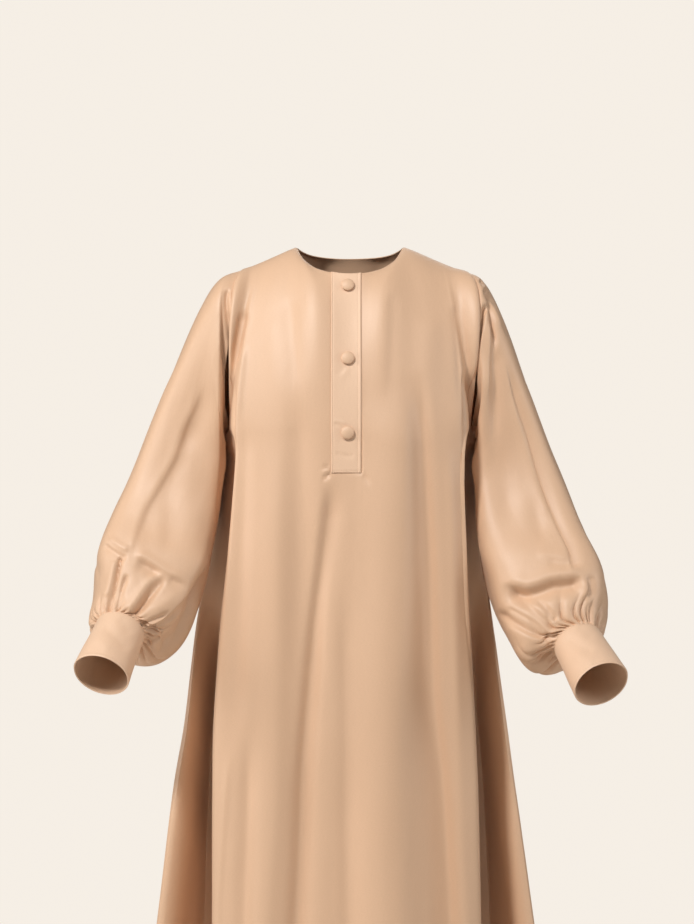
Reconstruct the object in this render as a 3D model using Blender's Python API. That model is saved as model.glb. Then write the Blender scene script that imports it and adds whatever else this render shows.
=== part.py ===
"""Abaya: a closed pull-on robe of one plain cloth, in the hollow form it has when it is worn.

The pieces are those that are cut and sewn: front, back, two set-in bishop sleeves, two deep
cuffs, a half placket and its three covered buttons. Every cloth piece is a thin wall on a form
worked out from the tables below. Seen from the front, +X is to the right, so the wearer's right
sleeve is at -X. The front faces -Y, and the origin lies midway between the shoulder tips.
"""
import math
from collections import namedtuple

import bmesh
import bpy
from mathutils import Vector

MM = 0.001

CLOTH = 2.0 * MM
CUFF_WALL = 2.4 * MM
PLACKET_WALL = 2.2 * MM
SEAM = 0.3 * MM
HALF_SEAM = 0.18 * MM
RIGHT, LEFT = -1, 1

ROBE_COLOUR = (0.64, 0.42, 0.27, 1.0)
CUFF_COLOUR = (0.68, 0.46, 0.31, 1.0)
BUTTON_COLOUR = (0.66, 0.44, 0.29, 1.0)

# ---------------------------------------------------------------- the robe's levels
# Millimetres. side: half width at the side seam. edge: half width of the flat panel in front,
# which ends in a pressed fold. front, corner, back: how far the panel's middle, its folded edge
# and the back stand from the middle of the body. dip: how far behind the folded edge the cloth
# dives before it comes out to the side seam, and out: how far outside that edge it does so.
# side_y: where the side seam lies. back_dip and back_out: the same for the back's soft corner.
Level = namedtuple("Level", "z side_r side_l edge_r edge_l front corner dip out side_y back"
                            " back_dip back_out")
LEVELS = [
    Level(-220, 171, 172, 159, 159, 125, 96, 40, 8, 4, 116, 34, 8),
    Level(-260, 177, 175, 162, 162, 126, 99, 45, 2, 46, 119, 36, 0),
    Level(-310, 182, 177, 165, 165, 128, 101, 53, -2, 52, 122, 38, -4),
    Level(-390, 190, 181, 169, 168, 131, 103, 84, -2, 46, 128, 36, -4),
    Level(-470, 210, 197, 175, 168, 135, 104, 114, 2, 16, 134, 34, 2),
    Level(-550, 223, 209, 181, 170, 139, 105, 142, 6, -12, 140, 32, 8),
    Level(-640, 232, 220, 186, 172, 143, 106, 154, 8, -28, 146, 32, 12),
    Level(-720, 245, 230, 187, 174, 147, 107, 156, 11, -36, 152, 34, 16),
    Level(-920, 269, 257, 187, 178, 157, 112, 164, 16, -48, 166, 38, 24),
    Level(-1150, 299, 287, 190, 182, 170, 122, 172, 19, -58, 180, 44, 32),
    Level(-1380, 330, 318, 195, 187, 184, 132, 180, 22, -64, 195, 50, 40),
]
UNDERARM_Z = LEVELS[0].z * MM
HEM_Z = LEVELS[-1].z * MM
MID_PANEL = 0.47
MID_PANEL_DROP = 0.12
BACK_EDGE = 0.93
BACK_CORNER = 20 * MM

# How round the section is at each of its nine control points, from the middle of the front (0)
# by the folded edge (2) and the side seam (4) to the middle of the back (8).
ROUNDNESS = [1.0, 1.0, 0.42, 0.8, 1.0, 0.8, 0.55, 1.0, 1.0]
SIDE_ROUNDNESS = 0.22
SIDE_SEAM = 4
BACK_MIDDLE = 8
LOOP = 16

# ---------------------------------------------------------------- neck and shoulders
NECK_POINT = Vector((74, 4, 40)) * MM
NECK_FRONT = Vector((0, -70, -4)) * MM
NECK_BACK = Vector((0, 62, 28)) * MM
SHOULDER_TIP = {RIGHT: Vector((148, 6, 8)) * MM, LEFT: Vector((158, 6, 6)) * MM}
SHOULDER_SHARE = [0.0, 0.66, 0.86, 1.0]

# How the cloth leaves the top edge and reaches the underarm level, at each control point from
# the middle of the neck to the armhole.
Yoke = namedtuple("Yoke", "top_y top_z low_y low_z")
YOKE = {
    "front": [
        Yoke(-90, -190, -10, -230),
        Yoke(-200, 0, -12, -300),
        Yoke(-200, 0, -20, -280),
        Yoke(-240, 0, 60, -230),
        Yoke(-280, 0, 280, -100),
    ],
    "back": [
        Yoke(70, -130, 8, -250),
        Yoke(180, 0, 10, -280),
        Yoke(180, 0, 10, -260),
        Yoke(220, 0, -50, -230),
        Yoke(260, 0, -250, -100),
    ],
}
# How far the armhole spreads sideways as it leaves the shoulder tip and as it nears the underarm.
Spread = namedtuple("Spread", "top low")
ARMHOLE_SPREAD = {RIGHT: Spread(95, 20), LEFT: Spread(150, 20)}

# ---------------------------------------------------------------- the main hanging folds
# A trough has a positive depth and a ridge a negative one. Each runs from its top to its foot.
Fold = namedtuple("Fold", "x_top z_top x_mid z_mid x_low z_low width depth")
FRONT_FOLDS = [
    Fold(-30, -275, -64, -560, -95, -1380, 24, 9),
    Fold(85, -120, 104, -540, 150, -1380, 26, 8),
    Fold(30, -420, 46, -760, 60, -1380, 34, -6),
    Fold(-120, -235, -140, -600, -150, -1380, 20, -4),
]
BACK_FOLDS = [
    Fold(-52, -150, -66, -600, -84, -1380, 30, -8),
    Fold(40, -190, 52, -640, 74, -1380, 30, -9),
    Fold(-6, -240, -4, -700, 4, -1380, 26, 8),
]
FOLD_GROWS = 0.35

# ---------------------------------------------------------------- the sleeves
# Rings from just outside the armhole to the cuff's seam: centre, half sizes across the arm and
# from front to back, and which way the arm runs: swing from straight down, forward from upright.
Ring = namedtuple("Ring", "x y z across depth swing forward")
SLEEVE = {
    RIGHT: [
        Ring(183, 2, -121, 114, 68, 89, 2),
        Ring(197, 1, -148, 98, 64, 80, 4),
        Ring(216, 0, -201, 72, 62, 60, 5),
        Ring(231, -5, -251, 64, 60, 39, 8),
        Ring(248, -15, -316, 67, 62, 19, 15),
        Ring(265, -35, -373, 74, 66, 16, 25),
        Ring(278, -65, -423, 78, 68, 16, 32),
        Ring(289, -95, -477, 71, 62, 27, 38),
        Ring(306, -117, -503, 57, 56, 30, 44),
        Ring(313, -135, -495, 34, 34, 20, 45),
    ],
    LEFT: [
        Ring(188, 2, -122, 112, 68, 89, 2),
        Ring(201, 1, -156, 93, 64, 79, 4),
        Ring(218, 0, -212, 64, 60, 58, 5),
        Ring(231, -5, -267, 57, 58, 30, 8),
        Ring(243, -15, -321, 64, 61, 14, 15),
        Ring(255, -35, -379, 73, 66, 6, 25),
        Ring(270, -65, -428, 80, 68, 3, 32),
        Ring(282, -95, -470, 76, 62, 13, 38),
        Ring(295, -122, -511, 64, 52, 34, 43),
        Ring(310, -140, -512, 34, 34, 27, 48),
    ],
}
# How much flatter than an ellipse each ring hangs, from the armhole's to the cuff's.
FLATNESS = [0.24, 0.32, 0.38, 0.4, 0.4, 0.38, 0.34, 0.24, 0.1, 0]
CUFF_LENGTH = 86 * MM
CUFF_RIM = 39 * MM

# ---------------------------------------------------------------- placket and buttons
PLACKET_LEFT_X = -26 * MM
PLACKET_RIGHT_X = 16 * MM
PLACKET_FOOT_Z = -281 * MM
BUTTON_X = -3 * MM
BUTTON_TOP_Z = -22 * MM
BUTTON_PITCH = 102 * MM
BUTTON_COUNT = 3
BUTTON_REST = 0.9 * MM
BUTTON_SIDES = 16
# The covered button's half section in millimetres, from its foot to the middle of its dome.
Turn = namedtuple("Turn", "radius height")
BUTTON_SECTION = [Turn(7.4, 0), Turn(9, 1.3), Turn(8.8, 2.4), Turn(6.8, 4), Turn(3.6, 4.8)]
BUTTON_TOP = 5 * MM

# ---------------------------------------------------------------- how finely each form is cut
YOKE_ROWS = [0, 0.07, 0.16, 0.27, 0.38, 0.5, 0.62, 0.73, 0.84, 0.93, 1]
BODY_ROWS_MM = [-250, -281, -335, -385, -420, -455, -490, -525, -580, -660, -760, -880, -1030, -1200,
                -1380]
PLACKET_COLUMNS = [PLACKET_LEFT_X, BUTTON_X, PLACKET_RIGHT_X]
SLEEVE_ROWS = [0, 0.4, 1, 1.5, 2, 2.5, 3, 3.5, 4, 4.5, 5, 5.5, 6, 6.6, 7.2, 7.8, 8.4, 9, 9.5, 10]
CUFF_ROWS = [0, 0.3, 0.65, 1]
SIDE_COLUMNS = [1, 1.4, 1.75, 2, 2.25, 2.6, 3, 3.35, 3.7, 4]
BACK_COLUMNS = [4, 4.3, 4.65, 5, 5.4, 5.75, 6, 6.25, 6.6, 7, 7.33, 7.67, 8]


def hermite(start, leave, end, arrive, share):
    """A point on the cubic that leaves start and reaches end with the given tangents."""
    square, cube = share ** 2, share ** 3
    return (start * (2 * cube - 3 * square + 1) + leave * (cube - 2 * square + share)
            + end * (3 * square - 2 * cube) + arrive * (cube - square))


def smooth_row(rows, place):
    """The row of a table at a height between its rows, each column run through smoothly."""
    place = min(max(place, rows[-1].z * MM), rows[0].z * MM)
    upper = max(i for i in range(len(rows) - 1) if rows[i].z * MM >= place or i == 0)
    first, last = rows[upper], rows[upper + 1]
    before, after = rows[max(upper - 1, 0)], rows[min(upper + 2, len(rows) - 1)]
    span = last.z - first.z
    share = (place / MM - first.z) / span
    values = []
    for column, (a, b, c, d) in enumerate(zip(before, first, last, after)):
        leave = (c - a) / (last.z - before.z) * span
        arrive = (d - b) / (after.z - first.z) * span
        values.append(hermite(b, leave, c, arrive, share) * MM)
    return type(first)(*values)


def plain_turns(values):
    """The way the loop runs at each of its control points: along the line between its neighbours."""
    return [(values[(k + 1) % LOOP] - values[k - 1]) / 2 for k in range(LOOP)]


def section_turns(values):
    """The same for a section, which turns squarely across the tip of the fold at each side seam."""
    turns = [turn * roundness for turn, roundness in zip(plain_turns(values), LOOP_ROUNDNESS)]
    for seam in (SIDE_SEAM, LOOP - SIDE_SEAM):
        before, tip, after = values[seam - 1:seam + 2]
        axis = tip - (before + after) / 2
        reach = (tip - before).length + (after - tip).length
        turns[seam] = Vector((-axis.y, axis.x, 0)).normalized() * SIDE_ROUNDNESS * reach
    return turns


def around(values, turns, q):
    """The value at place q on the closed loop of sixteen control points."""
    index = math.floor(q)
    first, last = index % LOOP, (index + 1) % LOOP
    return hermite(values[first], turns[first], values[last], turns[last], q - index)


def both_sides(half):
    """Sixteen values round the loop from the nine of one half, or from a half for each side."""
    left, right = (half, half) if isinstance(half, list) else (half[LEFT], half[RIGHT])
    return left + right[-2:0:-1]


LOOP_ROUNDNESS = both_sides(ROUNDNESS)


def level_controls(z):
    """The section's control points at one height, all round."""
    level = smooth_row(LEVELS, z)
    halves = {}
    for sign, side, edge in ((LEFT, level.side_l, level.edge_l), (RIGHT, level.side_r, level.edge_r)):
        back_edge = edge * BACK_EDGE
        back_corner = level.back - BACK_CORNER
        places = [
            (0, -level.front),
            (edge * MID_PANEL, -level.front + MID_PANEL_DROP * (level.front - level.corner)),
            (edge, -level.corner),
            (edge + level.out, level.dip - level.corner),
            (side, level.side_y),
            (back_edge + level.back_out, back_corner - level.back_dip),
            (back_edge, back_corner),
            (back_edge * MID_PANEL, level.back),
            (0, level.back),
        ]
        halves[sign] = [Vector((sign * x, y, z)) for x, y in places]
    return both_sides(halves)


def top_edge(q):
    """The neckline and the two shoulder seams."""
    place = (q + BACK_MIDDLE) % LOOP - BACK_MIDDLE
    sign = LEFT if place >= 0 else RIGHT
    place = abs(place)
    neck_middle = NECK_FRONT if place < SIDE_SEAM else NECK_BACK
    place = min(place, BACK_MIDDLE - place)
    if place < 1:
        point = NECK_POINT.lerp(neck_middle, math.sqrt(1 - place ** 2))
        return Vector((sign * NECK_POINT.x * place, point.y, point.z))
    index = min(int(place), SIDE_SEAM - 1)
    near, far = SHOULDER_SHARE[index - 1], SHOULDER_SHARE[index]
    point = NECK_POINT.lerp(SHOULDER_TIP[sign], near + (far - near) * (place - index))
    return Vector((sign * point.x, point.y, point.z))


def fold_depth(folds, x, z):
    """How far the hanging folds push the cloth in at one place."""
    total = 0.0
    for fold in folds:
        top, middle, low = fold.z_top * MM, fold.z_mid * MM, fold.z_low * MM
        if z >= top:
            continue
        if z > middle:
            share = (top - z) / (top - middle)
            line = fold.x_top + (fold.x_mid - fold.x_top) * share
        else:
            line = fold.x_mid + (fold.x_low - fold.x_mid) * (middle - z) / (middle - low)
        grow = min((top - z) / (FOLD_GROWS * (top - low)), 1.0)
        offset = (x - line * MM) / (fold.width * MM)
        total += fold.depth * MM * math.exp(-offset ** 2) * grow * grow * (3 - 2 * grow)
    return total


def robe_point(q, row, panel):
    """A point of the robe's outside: row 0 to 1 is the yoke, 1 to 2 runs down to the hem."""
    if row >= 1:
        z = UNDERARM_Z + (row - 1) * (HEM_Z - UNDERARM_Z)
        controls = level_controls(z)
        point = around(controls, section_turns(controls), q)
    else:
        point = yoke_point(q, row, panel)
    if panel == "front":
        point.y += fold_depth(FRONT_FOLDS, point.x, point.z)
    else:
        point.y -= fold_depth(BACK_FOLDS, point.x, point.z)
    return point


def yoke_point(q, row, panel):
    """A point above the underarm level, on a curve from the top edge to that level."""
    keep_front, keep_back = (5, 4) if panel == "front" else (4, 5)
    half = YOKE["front"][:keep_front] + YOKE["back"][:keep_back][::-1]
    tops = both_sides([Vector((0, y.top_y, y.top_z)) * MM for y in half])
    lows = both_sides([Vector((0, y.low_y, y.low_z)) * MM for y in half])
    for sign, spread in ARMHOLE_SPREAD.items():
        tops[sign * SIDE_SEAM] = tops[sign * SIDE_SEAM] + Vector((sign * spread.top, 0, 0)) * MM
        lows[sign * SIDE_SEAM] = lows[sign * SIDE_SEAM] + Vector((sign * spread.low, 0, 0)) * MM
    low = level_controls(UNDERARM_Z)
    return hermite(top_edge(q), around(tops, plain_turns(tops), q), around(low, section_turns(low), q),
                   around(lows, plain_turns(lows), q), row)


def armhole(sign, v):
    """The armhole from the shoulder tip (0) down the front to the underarm (0.5) and back up."""
    if v <= 0.5:
        return robe_point(sign * SIDE_SEAM, 2 * v, "front")
    return robe_point(sign * SIDE_SEAM, 2 - 2 * v, "back")


def arm_axes(ring, sign):
    """Which way the arm runs at a ring, which way is out across it, and which way is forward."""
    swing, forward = math.radians(ring.swing), math.radians(ring.forward)
    run = Vector((sign * math.sin(swing) * math.cos(forward), -math.sin(forward),
                  -math.cos(swing) * math.cos(forward)))
    across = Vector((sign * math.cos(swing), 0, math.sin(swing)))
    ahead = Vector((-sign * math.sin(swing) * math.sin(forward), -math.cos(forward),
                    math.cos(swing) * math.sin(forward)))
    return run, across, ahead


def ring_point(ring, flatness, sign, v):
    centre = Vector((sign * ring.x, ring.y, ring.z))
    _, across, ahead = arm_axes(ring, sign)
    out, forth = math.cos(2 * math.pi * v), math.sin(2 * math.pi * v)
    return (centre + across * ring.across * out * (1 + flatness * forth ** 2)
            + ahead * ring.depth * forth * (1 + flatness * out ** 2)) * MM


def sleeve_point(sign, v, row):
    """A point of a sleeve's outside: row 0 is the armhole, the last row the cuff's seam."""
    rings = SLEEVE[sign]

    def station(k):
        if k == 0:
            return armhole(sign, v) + Vector((sign * SEAM, 0, 0))
        return ring_point(rings[k - 1], FLATNESS[k - 1], sign, v)

    index = min(int(row), len(rings) - 1)
    first, last = station(index), station(index + 1)
    before = station(index - 1) if index > 0 else first
    after = station(index + 2) if index + 2 <= len(rings) else last
    leave = (last - before) * (0.5 if index > 0 else 1.0)
    arrive = (after - first) * (0.5 if index + 2 <= len(rings) else 1.0)
    return hermite(first, leave, last, arrive, row - index)


def cuff_point(sign, v, share):
    """A point of a cuff's outside, from its seam with the sleeve to its rim."""
    seam = SLEEVE[sign][-1]
    run, across, ahead = arm_axes(seam, sign)
    angle = 2 * math.pi * v
    radius = seam.across * MM + (CUFF_RIM - seam.across * MM) * share
    centre = Vector((sign * seam.x, seam.y, seam.z)) * MM + run * (SEAM + CUFF_LENGTH * share)
    return centre + across * radius * math.cos(angle) + ahead * radius * math.sin(angle)


def surface_normal(point_at, a, b, a_range, b_range, step=1e-3):
    """The outward unit normal of a surface point_at(a, b), from its neighbours."""
    a0, a1 = max(a - step, a_range[0]), min(a + step, a_range[1])
    b0, b1 = max(b - step, b_range[0]), min(b + step, b_range[1])
    along_a = point_at(a1, b) - point_at(a0, b)
    along_b = point_at(a, b1) - point_at(a, b0)
    return along_a.cross(along_b).normalized()


def material(name, colour, roughness):
    made = bpy.data.materials.new(name)
    made.use_nodes = True
    shader = made.node_tree.nodes["Principled BSDF"]
    shader.inputs["Base Color"].default_value = colour
    shader.inputs["Roughness"].default_value = roughness
    shader.inputs["Metallic"].default_value = 0.0
    return made


def wall(name, outside, inside, closed, look):
    """A cloth wall between two grids of points. closed joins each row's end to its start."""
    mesh = bpy.data.meshes.new(name)
    shell = bmesh.new()
    rows, columns = len(outside), len(outside[0])
    skins = [[[shell.verts.new(p) for p in row] for row in grid] for grid in (outside, inside)]
    outer, inner = skins
    reach = columns if closed else columns - 1
    for i in range(rows - 1):
        for j in range(reach):
            k = (j + 1) % columns
            shell.faces.new((outer[i][j], outer[i][k], outer[i + 1][k], outer[i + 1][j]))
            shell.faces.new((inner[i][j], inner[i + 1][j], inner[i + 1][k], inner[i][k]))
    for i, flip in ((0, True), (rows - 1, False)):
        for j in range(reach):
            k = (j + 1) % columns
            face = [outer[i][j], outer[i][k], inner[i][k], inner[i][j]]
            shell.faces.new(face[::-1] if flip else face)
    if not closed:
        for j, flip in ((0, False), (columns - 1, True)):
            for i in range(rows - 1):
                face = [outer[i][j], outer[i + 1][j], inner[i + 1][j], inner[i][j]]
                shell.faces.new(face[:1] + face[:0:-1] if flip else face)
    bmesh.ops.recalc_face_normals(shell, faces=shell.faces)
    if shell.calc_volume(signed=True) < 0:
        bmesh.ops.reverse_faces(shell, faces=shell.faces)
    shell.to_mesh(mesh)
    shell.free()
    mesh.shade_smooth()
    mesh.set_sharp_from_angle(angle=SHARP_EDGE)
    mesh.materials.append(look)
    made = bpy.data.objects.new(name, mesh)
    bpy.context.scene.collection.objects.link(made)
    return made


def moved(points, normals, distance):
    return [[p + n * distance for p, n in zip(*pair)] for pair in zip(points, normals)]


def body_row(z):
    return 1 + (z - UNDERARM_Z) / (HEM_Z - UNDERARM_Z)


ROWS = YOKE_ROWS + [body_row(z * MM) for z in BODY_ROWS_MM]
BESIDE = 1e-3
SHARP_EDGE = math.radians(50)
HALVINGS = 30


def front_columns():
    """Columns of the front: three of them are where the placket's edges and buttons lie."""
    inner = [-0.92, -0.75, -0.53] + [x / NECK_POINT.x for x in PLACKET_COLUMNS] + [0.45, 0.72, 0.92]
    return [-q for q in SIDE_COLUMNS[::-1]] + inner + SIDE_COLUMNS


def grid(point_at, columns, rows, a_range, b_range, outward):
    """Points and outward normals of a form at the given columns and rows."""
    points = [[point_at(a, b) for a in columns] for b in rows]
    normals = [[surface_normal(point_at, a, b, a_range, b_range) * outward for a in columns]
               for b in rows]
    return points, normals


def robe_panel(name, columns, look):
    def point_at(q, row):
        return robe_point(q, row, name)

    points, normals = grid(point_at, columns, ROWS, (columns[0], columns[-1]), (0, 2), -1)
    for place, row in zip(ROWS, points):
        for edge, beside in ((0, columns[0] + BESIDE), (-1, columns[-1] - BESIDE)):
            row[edge] += (point_at(beside, place) - row[edge]).normalized() * HALF_SEAM
    away = -1 if name == "front" else 1
    for point in points[0]:
        if abs(point.x) > NECK_POINT.x - SEAM:
            point.y += away * HALF_SEAM
    wall(name, points, moved(points, normals, -CLOTH), False, look)
    return points, normals


def make_placket(columns, points, normals, look):
    """The placket box lies on the front, so it is made from the front's own points."""
    first = columns.index(PLACKET_LEFT_X / NECK_POINT.x)
    reach = slice(first, first + len(PLACKET_COLUMNS))
    foot = ROWS.index(body_row(PLACKET_FOOT_Z)) + 1
    under = [row[reach] for row in points[:foot]]
    ways = [row[reach] for row in normals[:foot]]
    wall("placket", moved(under, ways, SEAM + PLACKET_WALL), moved(under, ways, SEAM), False, look)


def row_at_height(q, z):
    """The row at which the front's column q is at height z, found by halving."""
    low, high = 0.0, 2.0
    for _ in range(HALVINGS):
        middle = (low + high) / 2
        if robe_point(q, middle, "front").z > z:
            low = middle
        else:
            high = middle
    return (low + high) / 2


def make_buttons(look):
    q = BUTTON_X / NECK_POINT.x
    for number in range(BUTTON_COUNT):
        row = row_at_height(q, BUTTON_TOP_Z - number * BUTTON_PITCH)
        normal = -surface_normal(lambda a, b: robe_point(a, b, "front"), q, row, (-4, 4), (0, 2))
        foot = robe_point(q, row, "front") + normal * (SEAM + PLACKET_WALL + BUTTON_REST)
        mesh = bpy.data.meshes.new("button")
        dome = bmesh.new()
        rings = []
        for turn in BUTTON_SECTION:
            steps = [2 * math.pi * k / BUTTON_SIDES for k in range(BUTTON_SIDES)]
            rings.append([dome.verts.new((turn.radius * MM * math.cos(a),
                                          turn.radius * MM * math.sin(a), turn.height * MM))
                          for a in steps])
        tip = dome.verts.new((0, 0, BUTTON_TOP))
        dome.faces.new(rings[0][::-1])
        for k in range(BUTTON_SIDES):
            n = (k + 1) % BUTTON_SIDES
            for lower, upper in zip(rings, rings[1:]):
                dome.faces.new((lower[k], lower[n], upper[n], upper[k]))
            dome.faces.new((rings[-1][k], rings[-1][n], tip))
        dome.to_mesh(mesh)
        dome.free()
        mesh.shade_smooth()
        mesh.materials.append(look)
        made = bpy.data.objects.new(f"button_{number + 1}", mesh)
        made.rotation_mode = "QUATERNION"
        made.rotation_quaternion = normal.to_track_quat("Z", "Y")
        made.location = foot
        bpy.context.scene.collection.objects.link(made)


def make_sleeve(sign, side, robe, cuff):
    """A sleeve and its cuff, cut round at the armhole's own points so that the two edges match."""
    steps = [row / 2 for row in YOKE_ROWS] + [1 - row / 2 for row in YOKE_ROWS[-2:0:-1]]

    def sleeve_at(v, row):
        return sleeve_point(sign, v, row)

    def cuff_at(v, share):
        return cuff_point(sign, v, share)

    points, normals = grid(sleeve_at, steps, SLEEVE_ROWS, (0, 1), (0, len(SLEEVE[sign])), sign)
    wall("sleeve_" + side, points, moved(points, normals, -CLOTH), True, robe)
    points, normals = grid(cuff_at, steps, CUFF_ROWS, (0, 1), (0, 1), sign)
    wall("cuff_" + side, points, moved(points, normals, -CUFF_WALL), True, cuff)


def main():
    for item in list(bpy.data.objects):
        bpy.data.objects.remove(item, do_unlink=True)
    robe = material("robe_cloth", ROBE_COLOUR, 0.75)
    cuff = material("cuff_cloth", CUFF_COLOUR, 0.75)
    button = material("button_cloth", BUTTON_COLOUR, 0.7)
    columns = front_columns()
    points, normals = robe_panel("front", columns, robe)
    robe_panel("back", BACK_COLUMNS + [LOOP - q for q in BACK_COLUMNS[-2::-1]], robe)
    make_placket(columns, points, normals, cuff)
    make_buttons(button)
    make_sleeve(RIGHT, "right", robe, cuff)
    make_sleeve(LEFT, "left", robe, cuff)


main()
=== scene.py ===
"""The finished look of a closed pull-on abaya in plain satin-faced crepe, in its worn form.

Every cloth piece is a thin shell on the form of its own solid, with its folds, gathers and pressed
edges laid on it. The form comes from the same tables as the solids', but for two places
beneath the arms: the robe's sides reach a little further out there, to meet the sleeves, and the
edges of the front panel lie a little further in. Tables are in millimetres and the rest is in
metres. +Z is up, the front faces -Y and the wearer's right side is at -X.
"""
import math
from collections import namedtuple

import bpy
import numpy as np
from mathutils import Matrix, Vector


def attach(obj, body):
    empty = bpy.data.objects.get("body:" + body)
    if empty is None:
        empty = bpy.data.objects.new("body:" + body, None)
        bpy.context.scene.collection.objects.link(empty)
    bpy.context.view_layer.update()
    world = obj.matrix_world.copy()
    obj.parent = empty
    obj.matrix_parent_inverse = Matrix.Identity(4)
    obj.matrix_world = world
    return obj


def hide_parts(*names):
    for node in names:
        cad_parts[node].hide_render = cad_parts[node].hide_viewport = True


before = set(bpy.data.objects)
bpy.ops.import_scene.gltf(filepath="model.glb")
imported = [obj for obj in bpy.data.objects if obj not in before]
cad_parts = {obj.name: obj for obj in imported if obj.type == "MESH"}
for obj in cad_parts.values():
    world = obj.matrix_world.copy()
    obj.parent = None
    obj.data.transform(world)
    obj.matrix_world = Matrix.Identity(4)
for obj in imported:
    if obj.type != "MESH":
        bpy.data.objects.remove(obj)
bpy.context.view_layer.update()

MM = 0.001
RIGHT, LEFT = -1, 1
SIDE_NAME = {RIGHT: "right", LEFT: "left"}

# ---------------------------------------------------------------- the robe's levels
# side: half width at the side seam. edge: half width of the flat panel in front, which ends in a
# pressed fold. front, corner, back: how far the panel's middle, its folded edge and the back
# stand from the middle of the body. dip: how far behind the folded edge the cloth dives before
# it comes out to the side seam, and out: how far outside that edge it does so. side_y: where the
# side seam lies. back_dip and back_out: the same for the soft corner of the back.
Level = namedtuple("Level", "z side_r side_l edge_r edge_l front corner dip out side_y back"
                            " back_dip back_out")
LEVELS = [
    Level(-220, 171, 172, 159, 159, 125, 96, 40, 8, 4, 116, 34, 8),
    Level(-240, 182, 183.5, 156, 158, 125.5, 97.5, 43, 4, 30, 117.5, 35, 4),
    Level(-260, 184, 184, 156, 157, 126, 99, 45, 0, 70, 119, 36, 0),
    Level(-310, 192, 190, 160, 157, 128, 101, 53, -2, 72, 122, 38, -4),
    Level(-390, 201, 195, 167, 160, 131, 103, 84, -2, 62, 128, 36, -4),
    Level(-470, 215, 201, 175, 163, 135, 104, 114, 2, 24, 134, 34, 2),
    Level(-550, 223, 209, 181, 167, 139, 105, 142, 6, -12, 140, 32, 8),
    Level(-640, 232, 220, 186, 171, 143, 106, 154, 8, -28, 146, 32, 12),
    Level(-720, 245, 230, 187, 174, 147, 107, 156, 11, -36, 152, 34, 16),
    Level(-920, 269, 257, 187, 178, 157, 112, 164, 16, -48, 166, 38, 24),
    Level(-1150, 299, 287, 190, 182, 170, 122, 172, 19, -58, 180, 44, 32),
    Level(-1380, 330, 318, 195, 187, 184, 132, 180, 22, -64, 195, 50, 40),
]
UNDERARM_Z = LEVELS[0].z * MM
HEM_Z = LEVELS[-1].z * MM
MID_PANEL = 0.47
MID_PANEL_DROP = 0.12
BACK_EDGE = 0.93
BACK_CORNER = 20 * MM

# How round the section is at each of its nine control points, from the middle of the front (0)
# by the folded edge (2) and the side seam (4) to the middle of the back (8).
ROUNDNESS = [1.0, 1.0, 0.42, 0.8, 1.0, 0.8, 0.55, 1.0, 1.0]
SIDE_ROUNDNESS = 0.22
SIDE_SEAM = 4
BACK_MIDDLE = 8
LOOP = 16

# ---------------------------------------------------------------- neck and shoulders
NECK_POINT = np.array((74, 4, 40)) * MM
NECK_FRONT = np.array((0, -70, -4)) * MM
NECK_BACK = np.array((0, 62, 28)) * MM
SHOULDER_TIP = {RIGHT: np.array((148, 6, 8)) * MM, LEFT: np.array((158, 6, 6)) * MM}
SHOULDER_SHARE = np.array([0.0, 0.66, 0.86, 1.0])

# How the cloth leaves the top edge and reaches the underarm level, at each control point from
# the middle of the neck to the armhole.
Yoke = namedtuple("Yoke", "top_y top_z low_y low_z")
YOKE = {
    "front": [
        Yoke(-90, -190, -10, -230),
        Yoke(-200, 0, -12, -300),
        Yoke(-200, 0, -20, -280),
        Yoke(-240, 0, 60, -230),
        Yoke(-280, 0, 280, -100),
    ],
    "back": [
        Yoke(70, -130, 8, -250),
        Yoke(180, 0, 10, -280),
        Yoke(180, 0, 10, -260),
        Yoke(220, 0, -50, -230),
        Yoke(260, 0, -250, -100),
    ],
}
# How far the armhole spreads sideways as it leaves the shoulder tip and as it nears the underarm.
Spread = namedtuple("Spread", "top low")
ARMHOLE_SPREAD = {RIGHT: Spread(95, 20), LEFT: Spread(150, 20)}

# ---------------------------------------------------------------- the main hanging folds
# A trough has a positive depth and a ridge a negative one. Each runs from its top to its foot.
Fold = namedtuple("Fold", "x_top z_top x_mid z_mid x_low z_low width depth")
FOLDS = {
    "front": [
        Fold(-30, -275, -64, -560, -95, -1380, 24, 9),
        Fold(85, -120, 104, -540, 150, -1380, 26, 8),
        Fold(30, -420, 46, -760, 60, -1380, 34, -6),
        Fold(-120, -235, -140, -600, -150, -1380, 20, -4),
    ],
    "back": [
        Fold(-52, -150, -66, -600, -84, -1380, 30, -8),
        Fold(40, -190, 52, -640, 74, -1380, 30, -9),
        Fold(-6, -240, -4, -700, 4, -1380, 26, 8),
    ],
}
FOLD_GROWS = 0.35

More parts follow.
